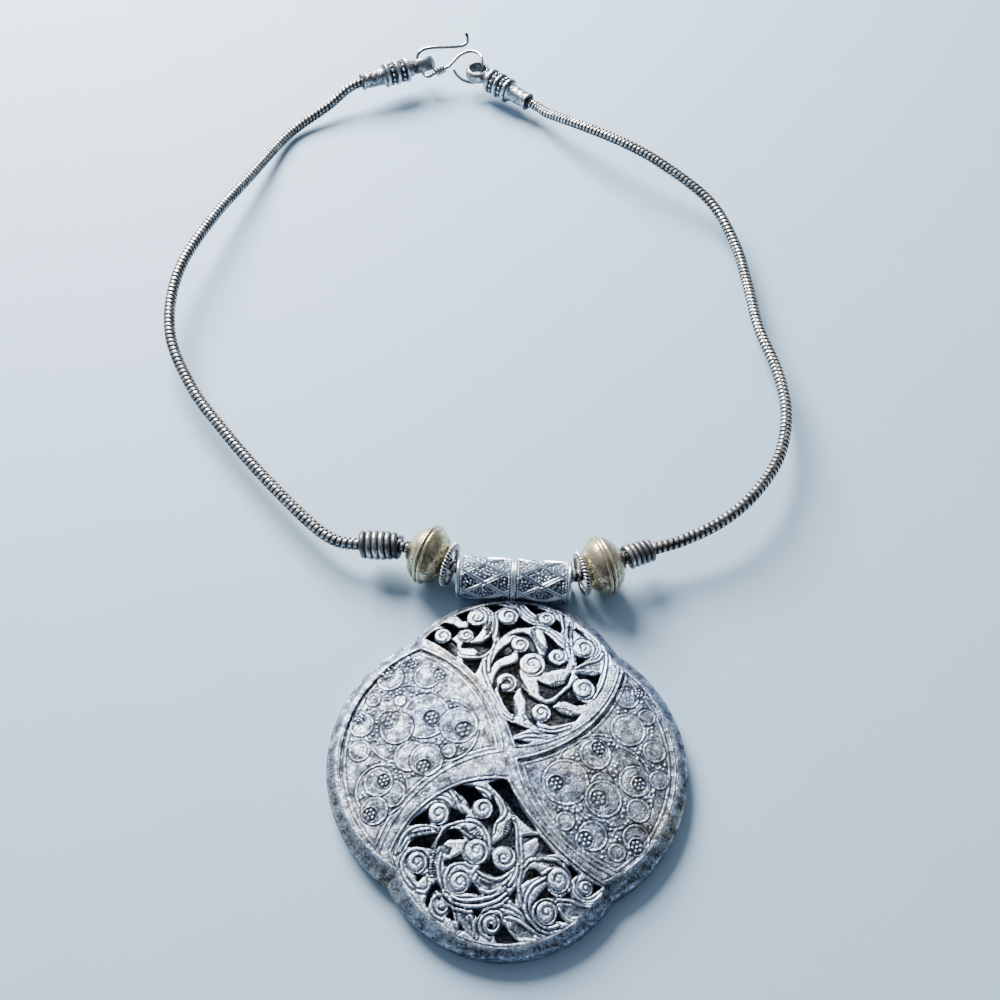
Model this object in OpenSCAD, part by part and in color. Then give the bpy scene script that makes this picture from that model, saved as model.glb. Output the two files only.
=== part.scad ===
// A silver medallion necklace of a traditional pierced kind, lying on a table.
// X runs to the right, Y away from the wearer's lap towards the clasp, and Z up.
// Sizes are in millimetres, and the origin is under the middle of the whole piece.

/* [Medallion] */
// Height of the plain side wall
wall_h = 3.2; // [2:0.1:4]
// Height of the raised bands at the middle of the dome
dome_h = 8.2; // [7:0.1:9]
// Radius of the dome
dome_r = 170; // [150:5:250]
// Height of the bands and rim over the fields
band_rise = 0.6; // [0.3:0.1:0.8]
// Thickness of the sheet metal
sheet_t = 1.1; // [0.8:0.1:1.4]
// Rise of the sloping rim for each millimetre inwards
rim_slope = 0.75; // [0.6:0.05:0.9]
// Turn of the medallion on the table, in degrees
medallion_turn = -4; // [-8:1:0]

/* [Bail tube] */
// Length of the tube between its end faces
tube_l = 24.8; // [22:0.4:25]
// Outer diameter of the tube's sheet
tube_d = 8.6; // [8.2:0.1:8.8]
// Outer diameter of the wires round the tube
tube_rim_d = 9.4; // [9:0.1:9.6]
// Diameter of the tube's bore
tube_bore_d = 7.4; // [7.2:0.1:7.6]

/* [Chain and beads] */
// Diameter of the snake chain
chain_d = 2.9; // [2.6:0.1:3]
// Diameter of a bead over its equator
bead_d = 13.5; // [13:0.1:13.5]
// Thickness of a bead along its bore
bead_l = 9; // [8.6:0.1:9.2]
// Diameter of a bead's bore
bead_bore_d = 4.2; // [4:0.1:4.4]
// Diameter of the wire coil that a spacer is bent from
spacer_wire_d = 1.5; // [1.3:0.1:1.6]
// Outer diameter of a spacer
spacer_d = 10.1; // [9.7:0.1:10.2]

/* [Clasp] */
// Diameter of an end cap's beaded drum
drum_d = 7; // [6.6:0.1:7.4]
// Outer diameter of an end cap's ring
ring_d = 7.8; // [7.4:0.1:8]
// Diameter of the hole in that ring
ring_hole_d = 5.3; // [5:0.1:5.4]
// Diameter of the hook's wire
hook_wire_d = 1; // [0.8:0.05:1.05]

/* [Hidden] */
fine = 96;
home_shift = [-0.06, 4.97, 0];
silver = [0.66, 0.67, 0.69];
dark_silver = [0.45, 0.45, 0.46];
brassy_silver = [0.58, 0.55, 0.48];

// Medallion: its place, its four lobes and the four fields between the bands.
medallion_at = [9.2, -102.6];
floor_t = 1;
shell_in = 2;
// Lobes: x, y, radius
LOBES = [[-6.6, 0, 28.8], [6.6, 0, 28.8], [0, 11.9, 25], [0.3, -11.8, 24.8]];
// Fields: three circles each, of which the field lies in the first two and outside the third.
// x, y, radius; x, y, radius; x, y, radius
TOP_FIELD = [[0, 12.3, 22.8], [-0.8, 23.9, 22.4], [-38, -12.5, 42.1]];
LEFT_FIELD = [[-6.6, 0, 25.9], [-28.5, -4, 27.7], [4, -26.7, 27.7]];
RIGHT_FIELD = [[6.6, 0, 25.9], [30.3, 7, 29.3], [-4, 25.2, 27.2]];
BOTTOM_FIELD = [[0.6, -12.3, 21.9], [-0.7, -25.6, 20.2], [37.8, 15.5, 42.8]];

// Openings of the scrollwork: corners anticlockwise, each with the bow of the edge that starts there.
// x, y, bow outwards; ...
TOP_OPENINGS = [
    [[-19.4, 25, -0.15], [-11.8, 20.8, 0.2], [-12.1, 24, 0], [-13, 24.8, 0], [-16.2, 27.4, 0.4]],
    [[-15.7, 31, -0.1], [-12.3, 31.1, 0], [-11.3, 29.8, 0], [-10.2, 30.2, 0], [-10.3, 33.2, 0.55]],
    [[-18.3, 28, 0], [-15.6, 28.4, -0.55], [-13.1, 25.3, 0.2], [-11.6, 27.5, 0], [-9.9, 27.4, 0],
     [-8.5, 25.4, 0.25], [-6.9, 28.6, 0], [-7.3, 29.4, 0], [-9.9, 28.9, 0], [-9.95, 28.2, -0.2],
     [-12.2, 28.1, 0.25], [-15.3, 29.2, 0.25]],
    [[-10.9, 23, 0], [-8.4, 22.95, -0.15], [-7.1, 22, 0], [-7.6, 21.5, 0], [-6.5, 21.3, 0.2],
     [-4.7, 23.6, 0.15], [-4.95, 26.3, -0.6], [-8.6, 24.2, 0], [-10.4, 24.4, 0]],
    [[-10.3, 20.2, 0], [-9.9, 19, 0], [-7.5, 16.9, 0.1], [-6.5, 20.3, -0.2]],
    [[-8.3, 34.8, -0.25], [-4.8, 32.5, -0.1], [-2.8, 34.1, 0.1], [-6, 35.05, 0.1]],
    [[-3.3, 25.6, -0.95], [3.3, 29.1, 0], [4.4, 29.6, 0], [2.6, 30.1, -0.15], [0.45, 32, 0],
     [-1.7, 30.5, 0], [-3.6, 30.2, -0.15]],
    [[1.2, 35.7, 0], [4.1, 32.6, -0.1], [6.1, 33.7, 0.1]],
    [[7, 29.7, 0], [9.2, 28.2, 0], [9.8, 28.9, 0.15], [8.8, 31.5, 0]],
    [[12.4, 29.1, 0], [14.1, 28.1, 0], [15.4, 26.9, 0.15], [12.7, 29.9, 0]],
    [[12.8, 22.9, 0], [13.1, 20.3, -0.1], [15.3, 22.3, 0]],
    [[6, 27.9, -0.2], [6.9, 24, -0.15], [6.3, 22, 0], [6.9, 18.2, 0], [8.3, 18.9, 0],
     [10.8, 19.6, 0], [11.1, 21, 0], [9.5, 22, 0], [10.3, 24.2, 0], [9, 25, 0.15]],
    [[-1.1, 26.6, -0.1], [0.8, 26.8, 0], [1.1, 20.9, 0], [1.7, 20.4, 0], [5, 22.7, 0.15],
     [2.9, 27, 0.1], [1.7, 27.5, 0.15]],
    [[-4.55, 17.2, -0.3], [-3.3, 20.3, -0.1], [-0.6, 21.8, 0], [0, 23, 0], [0.2, 25.6, 0.15],
     [-3, 22.5, 0.4]],
    [[-3.45, 13.1, 0], [-2.9, 14.8, 0], [-1, 15, 0], [1, 13.4, 0], [1.7, 14.2, 0],
     [2.1, 15.2, 0], [1.3, 18, 0], [1.5, 21.3, 0], [0.4, 19.85, 0], [-2.2, 18.65, 0.3],
     [-3.7, 15, 0.1]],
    [[2, 14.3, 0], [2.4, 13, 0], [3.2, 11.4, 0], [3.25, 8.8, 0], [4, 7.3, 0], [5.9, 5.6, 0],
     [5.3, 6.8, 0], [6.2, 8.5, 0], [6.9, 6.8, 0], [8.2, 6.3, 0.1], [13.2, 8, 0], [13.9, 9.2, 0],
     [12, 8.8, -0.1], [9.7, 9.4, 0], [8.3, 10.5, 0], [9.6, 11.7, 0], [11, 12.05, 0],
     [13.2, 11.3, 0], [15.2, 11.8, 0], [13.3, 12.7, 0], [12.2, 15.4, 0], [11.8, 15, 0.1],
     [8.9, 11.6, -0.1], [7, 11.05, -0.1], [3.7, 12.5, 0], [3, 13.5, 0]],
    [[12.9, 18.5, -0.1], [14.6, 16, 0], [16.7, 15.2, 0.1], [17.9, 18.9, 0], [16.6, 18.5, -0.05]],
    [[5.3, 15.9, 0], [5.7, 14.6, 0], [5.9, 12.9, 0], [7.1, 12.15, 0.05], [8.3, 12.5, 0.1],
     [11.3, 16.1, 0.05], [12, 18.6, 0], [11.2, 17.6, 0], [10.7, 16, -0.1], [8.4, 14.95, -0.1]],
    [[-0.8, 6.9, 0], [-0.3, 5.6, 0.1], [0.7, 3.5, 0], [3.8, 5.3, 0], [1.7, 6, 0]],
    [[0.9, 2.9, 0], [1.6, 1.5, 0], [4.5, 2.5, 0], [3, 2.7, 0]]];
BOTTOM_OPENINGS = [
    [[-2.9, -6.3, -0.3], [2.6, -11.8, 0.1], [6.5, -14.6, 0], [6.2, -13.7, -0.5], [0.5, -5, 0],
     [0, -4.8, 0.1]],
    [[-10, -7.1, 0], [-9, -8.2, 0], [-8, -8.5, -0.3], [-6.1, -11.3, 0], [-5.6, -9.7, 0],
     [-3.5, -9.2, 0.1], [-5.8, -7, 0.2]],
    [[-17.4, -14.7, -0.15], [-13.4, -14.5, 0], [-13.8, -11.7, 0.45]],
    [[-9.6, -11.2, 0], [-9.8, -12.6, 0], [-10.1, -14.1, -0.1], [-6.9, -13.2, 0], [-6.8, -12.2, 0],
     [-8.2, -11.9, 0]],
    [[-17.2, -18.7, -0.3], [-12.8, -18.8, 0], [-12.2, -16.8, 0], [-11.6, -16, 0.2],
     [-16.2, -17.2, 0.1]],
    [[-11.7, -18.4, 0], [-11, -18.2, -0.1], [-9.3, -16.9, 0], [-6.8, -16.8, 0], [-7.1, -16.2, 0.1],
     [-8.3, -15.1, 0.15], [-10.2, -15.4, 0.1]],
    [[-9.8, -21.8, -0.1], [-7.7, -20.9, 0], [-6.5, -20.8, 0], [-7.1, -19.5, -0.05],
     [-10.2, -21, 0]],
    [[-3.4, -22.1, 0], [-0.6, -23, 0.1], [1.1, -22.3, -0.5], [-1.4, -19.6, 0], [-2.3, -20.8, 0],
     [-3.4, -21.3, 0]],
    [[1.9, -13.6, -0.1], [1.5, -15.2, -0.1], [-0.4, -16.8, 0], [-1.4, -17.6, 0], [-1.2, -18, 0],
     [0.6, -17.6, 0], [2.7, -18.2, 0.1], [2.3, -13.8, 0]],
    [[-2, -8.5, 0], [-3, -12, 0], [-4.3, -13, -0.2], [-1.75, -16.3, 0], [-1.6, -14.2, -0.1],
     [-0.5, -12, 0], [-0.9, -10.5, -0.1]],
    [[4.3, -16.8, 0], [5.2, -16.3, 0], [6, -15.8, 0], [6.9, -15.7, -0.1], [7.2, -17.6, 0],
     [6.4, -18.9, 0], [7.2, -18.9, 0], [10, -18.2, 0], [7.2, -15.4, 0], [6.8, -15.1, 0],
     [4.3, -15.5, 0.1]],
    [[4.5, -23.9, 0], [5, -23.4, 0], [7.7, -22.2, 0], [7.1, -21.6, 0.2], [5.4, -21.4, 0.1]],
    [[12.5, -20.4, 0], [13.1, -21, 0], [13.4, -22.1, 0.1], [14.6, -21.4, 0], [13, -20.1, 0]],
    [[17.4, -22.8, 0], [17.5, -23.6, 0], [17, -24.7, 0.1], [18.8, -23.3, 0]],
    [[6.6, -27.2, -0.2], [8.9, -25.9, 0], [10.5, -25.7, 0], [9.3, -24.9, 0], [8.8, -24.2, 0.1]],
    [[12, -25.5, 0], [13.4, -25.6, 0], [13.1, -24.8, 0], [12.7, -24.8, 0]],
    [[10.9, -28.2, 0], [10.3, -29.6, 0], [12.4, -29.7, 0], [11.5, -28.9, 0]],
    [[3.3, -25, 0.05], [2.3, -26.3, 0.05], [3.3, -27.5, 0]],
    [[-4.4, -24.4, 0], [-5.6, -26, 0], [-3, -26.3, 0]],
    [[-11.2, -24.6, 0.1], [-12.6, -26.6, 0], [-12.9, -28.3, 0], [-12.5, -28.8, 0],
     [-12.1, -28.2, -0.2], [-11.4, -26.1, 0], [-10.1, -25.9, 0]],
    [[-15, -23.4, 0], [-14.9, -24.4, 0], [-14.5, -24.6, 0], [-13.5, -23.5, 0]],
    [[-8, -29.2, 0], [-8.9, -30.3, 0], [-7.3, -30.9, 0]],
    [[-6.2, -31.5, 0], [-6.6, -32.4, 0], [-5.6, -32.3, 0]],
    [[-4.2, -28.9, 0], [-3.3, -30.2, 0], [-2.5, -28.8, 0]],
    [[1.5, -31.1, 0], [0.9, -32.1, 0], [0, -32.8, 0], [0.6, -34, 0], [2.5, -34, 0],
     [4.4, -33.6, -0.2]]];
// Openings that wind into a curl
EYE_OPENINGS = [
    [[-2.55, 14.6, 0], [-2.4, 13, 0], [-1.3, 10.5, 0], [0.3, 8.3, 0], [1, 8.5, -0.1],
     [0.45, 11.9, 0], [1.1, 13.4, 0], [0.2, 12.95, 0], [-1, 12.9, 0], [-1.85, 13.4, 0],
     [-1.9, 14.3, 0], [-1.3, 14.9, 0], [-0.6, 14.8, 0], [-0.1, 13.9, 0], [-0.1, 15.2, 0.1],
     [-1, 15.95, 0.1]],
    [[-1.3, -31.7, 0], [-0.8, -32, 0], [-0.2, -31.6, 0], [-0.6, -31.1, 0], [-1, -30.9, 0]]];
// Rolled curls of the scrollwork: x, y, radius
TOP_CURLS = [
    [-15.1, 25.7, 1.8], [-10.1, 26, 1.55], [-8.3, 30.8, 2.2], [-1.75, 31.5, 2.2],
    [6.45, 31.5, 1.75], [1.15, 24.4, 1.9], [9.1, 22.1, 2], [14.5, 24.8, 2.3], [4, 19.75, 2.7],
    [-1, 15.15, 2.1], [14.6, 15.1, 2.3], [6.25, 8.9, 1.95]];
BOTTOM_CURLS = [
    [-12, -12.5, 2], [-3.7, -11.1, 1.9], [-15.1, -21.4, 1.9], [-4.3, -18.9, 2.2],
    [0.8, -19.7, 2.2], [-6.9, -24.5, 1.8], [11, -22.9, 2.1], [9.1, -28.5, 1.95],
    [16, -23.8, 1.25], [-0.7, -31.1, 1.6], [-9.9, -28.8, 1.2]];
curl_rise = 0.2;
bow_steps = 4;

// Chased circles of the side fields: x, y, radius
LEFT_CIRCLES = [
    [-24.8, 15.3, 2.9], [-17.2, 15.9, 2.9], [-16.4, 7, 4.7], [-9.8, 5.3, 3.9], [-22.2, 4, 3.4],
    [-22.1, 10.2, 1.3], [-15.8, -2, 3.5], [-29.2, 4.8, 2.6], [-28.8, -0.6, 2.3],
    [-24, -6.8, 3.1], [-24.3, -12.3, 2.8]];
RIGHT_CIRCLES = [
    [17.2, 1.3, 3.2], [11.6, -4.8, 4.5], [18.9, -7.3, 3.7], [24.9, -3.2, 3.2],
    [11.8, -12.2, 1.9], [17, -14.4, 2.9], [25.2, -14, 2.7], [21.6, -17, 1.8],
    [23.6, 7.2, 3.6], [28.8, 3.3, 2.4], [23.4, 14.2, 2.5]];
circle_ridge = 0.4;
circle_rise = 0.25;

// Bail tube: its centre is in the medallion's own frame, and it is soldered to the top rim.
tube_at = [-1.1, 40.6];
tube_z = tube_rim_d / 2;
tube_wire_w = 1;

// Route of the chain's centre, as it lies: from the left cap to the middle of the tube, and on
// from there to the right cap.
LEFT_ROUTE = [
    [-30.6, 116.5, 7.5], [-34.7, 114.5, 7.5], [-38.8, 112.4, 6.6], [-45, 107.3, 4], [-56, 96, 2.1],
    [-64, 73, 5], [-71.3, 49.5, 8.4], [-76.2, 28, 9.4], [-75.2, 8.5, 8], [-67.6, -8, 6.2],
    [-57, -22.4, 5.5], [-45.8, -35.8, 5.5], [-34.6, -47.8, 5.7], [-28.5, -52.6, 5.9],
    [-23.3, -53.8, 6.2], [-18.3, -54.2, 6.4], [-13.3, -54.6, 6.6], [-7.6, -56.9, 6.7],
    [-3.6, -58.7, 6.3], [-1, -59.9, 6.2], [5.5, -61.85, 6.2], [11, -62.1, 6.2]];
RIGHT_ROUTE = [
    [11, -62.1, 6.2], [16.5, -62.35, 6.2], [22.6, -62.2, 6.3], [25.9, -61.4, 6.3],
    [30.1, -59.8, 6.7], [34.8, -57.9, 6.75], [38.2, -56.6, 6.7], [41.5, -55.4, 6.7],
    [48.5, -53.2, 7.1], [57, -49, 8.1], [65, -42, 8.6], [72.3, -31, 8], [76.2, -17.5, 7.2],
    [76.4, -3.5, 6.3], [74.1, 12.3, 5.4], [73.5, 28.5, 4.8], [72, 44.5, 5], [66.5, 60, 6.7],
    [54, 71.5, 10.1], [43.5, 80, 11], [32, 90.5, 9.2], [22.5, 100.8, 6],
    [19.8, 104.9, 5.2], [16.6, 107.8, 5.1], [13.4, 110.5, 5.35]];
ring_gap = 8.5;
chain_sides = 10;

// Places and turns of what is strung on the chain: x, y, z; turn about Z, pitch
LEFT_BEAD = [[-7.6, -56.85, 6.75], [-25, 0]];
RIGHT_BEAD = [[30.1, -59.75, 6.75], [20, 0]];
LEFT_SPACER = [[-3, -59, 6.1], [-21, 0]];
RIGHT_SPACER = [[25.55, -61.45, 6.1], [17, 0]];
LEFT_WRAP = [[-23.3, -53.8, 6.2], [-4.6, 2.3]];
RIGHT_WRAP = [[34.9, -57.86, 6.74], [20.8, 0]];
// Turns of wire in each wrap: distance along the chain, radius of the turn's middle
LEFT_TURNS = [[0.8, 2.3], [2.2, 2.6], [3.6, 2.7], [5, 2.7], [6.4, 2.6], [7.8, 2.4], [9.2, 2.2]];
RIGHT_TURNS = [[0.7, 2.25], [1.9, 2.2], [3.1, 2.15], [4.3, 2.1], [5.5, 2.05], [6.7, 2]];
left_wrap_wire_d = 1.5;
right_wrap_wire_d = 1.3;
wrap_bore_r = chain_d / 2 + 0.25;

// End caps: place of the sleeve's mouth; turn about Z, pitch; lean of the ring's hole
LEFT_CAP = [[-34.7, 114.5, 7.5], [25.8, 0], -35];
RIGHT_CAP = [[16.6, 107.8, 5.1], [139.7, 3.6], 0];
sleeve_l = 7.2;
drum_l = 8.4;
waist_d = 4.8;
ring_off = 20.5;
ring_w = 3.4;
ring_bulge = 0.8;
cap_room = 0.2;

// Hook: route of its wire, from the curled tip round the left ring to the eye in the right ring.
HOOK_ROUTE = [
    [-2.7, 128.8, 15], [-2.2, 128.2, 13.9], [-2.4, 127.3, 12.7], [-4, 126.6, 12.1],
    [-8.3, 126.1, 12], [-13, 125.8, 12], [-16, 125.5, 11.5], [-17.8, 124.6, 10.2],
    [-17.7, 123.4, 8.2], [-16.7, 122.4, 6.3], [-15.5, 121.1, 5.3], [-14.2, 120.2, 5.7],
    [-13, 120.1, 6.5], [-12, 120.6, 6.75], [-8.8, 122.3, 7.4], [-7.9, 122.8, 7.6],
    [-6.7, 124.3, 8.1], [-5, 126.1, 8.9], [-2.8, 127.3, 9.5], [-0.6, 127.4, 9.7],
    [1.3, 126.1, 9.75], [2.25, 124.1, 9.55], [2.4, 122.4, 8.2], [2.1, 121.4, 5.8],
    [1.1, 120.7, 4], [-1, 120.3, 3.5], [-3.7, 120.5, 4.3], [-5.6, 121.7, 5.2],
    [-6.6, 122.8, 6.2]];
hook_sides = 8;
coil_turns = 5;
coil_wire_d = 0.8;
coil_room = 0.12;
COIL_AT = [[-12.1, 120.55, 6.73], [28, 10.6]];

// Geometry helpers: a point on a smooth route, and a swept tube.
function unit(v) = v / norm(v);
function smooth(a, b, c, d, t) =
    0.5 * (2 * b + (c - a) * t + (2 * a - 5 * b + 4 * c - d) * t * t
           + (3 * b - a - 3 * c + d) * t * t * t);
function route_points(p, gap) = concat(
    [for (i = [0:len(p) - 2])
        let (a = p[max(i - 1, 0)], b = p[i], c = p[i + 1], d = p[min(i + 2, len(p) - 1)],
             n = max(1, ceil(norm(c - b) / gap)))
        for (k = [0:n - 1]) smooth(a, b, c, d, k / n)],
    [p[len(p) - 1]]);
function tangent(p, i) = unit(p[min(i + 1, len(p) - 1)] - p[max(i - 1, 0)]);
// A frame that doesn't twist: the first side is level, and each next one is carried along.
function carried(p, i, last) =
    let (t = tangent(p, i)) unit(last - t * (last * t));
function sides(p, i = 0, last = [0, 0, 1]) =
    i == len(p) ? [] : let (s = carried(p, i, last)) concat([s], sides(p, i + 1, s));

module swept(route, d, gap, n) {
    p = route_points(route, gap);
    u = sides(p);
    points = [for (i = [0:len(p) - 1]) for (k = [0:n - 1])
        let (v = cross(tangent(p, i), u[i]), a = 360 * k / n)
        p[i] + d / 2 * (cos(a) * u[i] + sin(a) * v)];
    last = (len(p) - 1) * n;
    walls = [for (i = [0:len(p) - 2]) for (k = [0:n - 1])
        let (a = i * n + k, b = i * n + (k + 1) % n)
        each [[b + n, b, a], [a + n, b + n, a]]];
    start_cap = [for (k = [0:n - 1]) k];
    end_cap = [for (k = [n - 1:-1:0]) last + k];
    polyhedron(points, concat([start_cap], walls, [end_cap]));
}

// Moves a piece so that the origin is under the middle of the whole necklace.
module home() {
    translate(home_shift) children();
}

// Puts something that is made along X at a place, turned about Z and pitched up.
module put(at) {
    translate(at[0]) rotate([0, -at[1][1], at[1][0]]) children();
}

// An opening's outline: every edge is straight, or a flat arc where it has a bow.
module opening(o) {
    polygon([for (i = [0:len(o) - 1])
        let (p = [o[i].x, o[i].y], q = [o[(i + 1) % len(o)].x, o[(i + 1) % len(o)].y],
             d = unit(q - p), bow = o[i].z, n = bow == 0 ? 1 : bow_steps)
        for (k = [0:n - 1])
            let (t = k / n) p + (q - p) * t + 4 * bow * t * (1 - t) * [d.y, -d.x]]);
}

module disc(c) {
    translate([c[0], c[1]]) circle(c[2], $fn = fine);
}

module field(f) {
    difference() {
        intersection() {
            disc(f[0]);
            disc(f[1]);
        }
        disc(f[2]);
    }
}

// What is cut through a field. The two offsets leave out slivers.
module gaps(f, openings, curls) {
    offset(delta = 0.1) offset(delta = -0.15) intersection() {
        field(f);
        union() {
            difference() {
                for (o = openings) opening(o);
                for (c = curls) disc(c);
            }
            for (o = EYE_OPENINGS) opening(o);
        }
    }
}

module dome(drop) {
    translate([0, 0, dome_h - dome_r]) sphere(dome_r - drop, $fn = fine);
}

// One lobe of the pendant's outside, with its wall and rim moved in by inset.
module lobe(l, inset) {
    r = l[2] - inset;
    top = dome_h + 1;
    translate([l[0], l[1], 0]) rotate_extrude($fn = fine)
        polygon([[0, 0], [r, 0], [r, wall_h], [r - (top - wall_h) / rim_slope, top], [0, top]]);
}

module bail_tube() {
    translate([tube_at[0], tube_at[1], tube_z]) rotate([0, 90, 0])
        translate([0, 0, -tube_l / 2]) {
            cylinder(h = tube_l, d = tube_d, $fn = fine);
            for (z = [0, (tube_l - tube_wire_w) / 2, tube_l - tube_wire_w])
                translate([0, 0, z]) cylinder(h = tube_wire_w, d = tube_rim_d, $fn = fine);
        }
}

module medallion() {
    color(silver) home() translate([medallion_at[0], medallion_at[1], 0])
        rotate([0, 0, medallion_turn]) difference() {
            union() {
                difference() {
                    intersection() {
                        union() for (l = LOBES) lobe(l, 0);
                        dome(0);
                    }
                    difference() {
                        linear_extrude(dome_h + 1) {
                            field(TOP_FIELD);
                            field(LEFT_FIELD);
                            field(RIGHT_FIELD);
                            field(BOTTOM_FIELD);
                        }
                        dome(band_rise);
                    }
                }
                intersection() {
                    translate([0, 0, wall_h]) for (c = concat(LEFT_CIRCLES, RIGHT_CIRCLES))
                        difference() {
                            translate([c[0], c[1], 0])
                                cylinder(h = dome_h, r = c[2], $fn = fine);
                            translate([c[0], c[1], -1])
                                cylinder(h = dome_h + 2, r = c[2] - circle_ridge, $fn = fine);
                        }
                    dome(band_rise - circle_rise);
                }
                intersection() {
                    for (c = concat(TOP_CURLS, BOTTOM_CURLS))
                        translate([c[0], c[1], wall_h]) cylinder(h = dome_h, r = c[2], $fn = fine);
                    dome(band_rise - curl_rise);
                }
                intersection() {
                    for (c = concat(TOP_CURLS, BOTTOM_CURLS))
                        translate([c[0], c[1], wall_h])
                            cylinder(h = dome_h, r = c[2] / 2, $fn = fine);
                    dome(band_rise - 2 * curl_rise);
                }
                bail_tube();
            }
            intersection() {
                translate([0, 0, floor_t]) linear_extrude(dome_h)
                    for (l = LOBES) translate([l[0], l[1]]) circle(l[2] - shell_in, $fn = fine);
                dome(band_rise + sheet_t);
            }
            translate([0, 0, floor_t + 0.5]) linear_extrude(dome_h) {
                gaps(TOP_FIELD, TOP_OPENINGS, TOP_CURLS);
                gaps(BOTTOM_FIELD, BOTTOM_OPENINGS, BOTTOM_CURLS);
            }
            translate([tube_at[0] - tube_l, tube_at[1], tube_z]) rotate([0, 90, 0])
                cylinder(h = 2 * tube_l, d = tube_bore_d, $fn = fine);
        }
}

module chain_left() {
    color(dark_silver) home() swept(LEFT_ROUTE, chain_d, ring_gap, chain_sides);
}

module chain_right() {
    color(dark_silver) home() swept(RIGHT_ROUTE, chain_d, ring_gap, chain_sides);
}

module bead(at) {
    r = bead_d / 2;
    h = bead_l / 2;
    bore = bead_bore_d / 2;
    put(at) rotate([0, 90, 0]) rotate_extrude($fn = fine)
        polygon([[bore, -h], [2.6, -h], [3.7, -0.83 * h], [4.7, -0.68 * h], [5.5, -0.5 * h],
                 [6.1, -0.3 * h], [6.35, -0.15 * h], [r, -0.1 * h], [r, 0.1 * h],
                 [6.35, 0.15 * h], [6.1, 0.3 * h], [5.5, 0.5 * h], [4.7, 0.68 * h],
                 [3.7, 0.83 * h], [2.6, h], [bore, h]]);
}

module bead_left() {
    color(brassy_silver) home() bead(LEFT_BEAD);
}

module bead_right() {
    color(brassy_silver) home() bead(RIGHT_BEAD);
}

module spacer(at) {
    put(at) rotate([0, 90, 0]) rotate_extrude($fn = fine)
        translate([(spacer_d - spacer_wire_d) / 2, 0]) circle(d = spacer_wire_d, $fn = 32);
}

module spacer_left() {
    color(dark_silver) home() spacer(LEFT_SPACER);
}

module spacer_right() {
    color(dark_silver) home() spacer(RIGHT_SPACER);
}

// Turns of wire side by side round an axis along X, closed inwards to the radius of the bore.
module turns(list, wire_d, bore_r) {
    rotate([0, 90, 0]) rotate_extrude($fn = fine) difference() {
        union() for (t = list) {
            translate([t[1], t[0]]) circle(d = wire_d, $fn = 32);
            translate([bore_r, t[0] - wire_d * 0.4]) square([t[1] - bore_r, wire_d * 0.8]);
        }
        translate([bore_r - 5, -5]) square([5, 30]);
    }
}

module wrap_left() {
    color(dark_silver) home() put(LEFT_WRAP) turns(LEFT_TURNS, left_wrap_wire_d, wrap_bore_r);
}

module wrap_right() {
    color(dark_silver) home() put(RIGHT_WRAP) turns(RIGHT_TURNS, right_wrap_wire_d, wrap_bore_r);
}

// An end cap along X: the sleeve takes the chain's end, and the ring takes the hook.
module cap(at) {
    bore = chain_d / 2 + cap_room;
    drum = drum_d / 2;
    waist = waist_d / 2;
    a = sleeve_l;
    b = sleeve_l + drum_l;
    neck = ring_off - ring_hole_d / 2 - 0.6;
    ring = ring_d / 2;
    edge = ring_w / 2;
    put(at) difference() {
        union() {
            rotate([0, 90, 0]) rotate_extrude($fn = fine)
                polygon([[0, 0], [2.6, 0], [2.6, 0.8], [2.25, 0.9], [2.5, a - 0.6], [drum - 0.5, a],
                         [drum, a + 0.6], [drum + 0.3, a + 0.9], [drum, a + 1.2],
                         [drum - 0.4, a + 1.7], [drum - 0.4, a + 3.3], [drum, a + 3.8],
                         [drum + 0.3, a + 4.2], [drum, a + 4.6], [drum - 0.4, a + 5.1],
                         [drum - 0.4, a + 6.7], [drum, a + 7.2], [drum + 0.3, a + 7.5],
                         [drum, a + 7.8], [waist + 0.4, b], [waist, b + 0.6],
                         [waist - 0.1, ring_off - ring_d / 2], [edge, neck], [0, neck]]);
            translate([ring_off, 0, 0]) rotate([at[2], 0, 0]) rotate_extrude($fn = fine)
                polygon([[0, -edge], [ring - ring_bulge, -edge], [ring - 0.2, -0.5 * edge],
                         [ring, 0], [ring - 0.2, 0.5 * edge], [ring - ring_bulge, edge],
                         [0, edge]]);
        }
        translate([ring_off, 0, 0]) rotate([at[2], 0, 0])
            cylinder(h = 2 * ring_w, d = ring_hole_d, center = true, $fn = fine);
        translate([-1, 0, 0]) rotate([0, 90, 0]) cylinder(h = 6.5, r = bore, $fn = fine);
    }
}

module cap_left() {
    color(silver) home() cap(LEFT_CAP);
}

module cap_right() {
    color(silver) home() cap(RIGHT_CAP);
}

module hook() {
    color(silver) home() swept(HOOK_ROUTE, hook_wire_d, 2, hook_sides);
}

module hook_coil() {
    inner = hook_wire_d / 2 + coil_room;
    pitch = 0.95 * coil_wire_d;
    rows = [for (i = [0:coil_turns - 1]) [i * pitch, inner + coil_wire_d / 2]];
    color(dark_silver) home() put(COIL_AT) turns(rows, coil_wire_d, inner);
}

medallion();
chain_left();
chain_right();
bead_left();
bead_right();
spacer_left();
spacer_right();
wrap_left();
wrap_right();
cap_left();
cap_right();
hook();
hook_coil();
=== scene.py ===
import math

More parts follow.
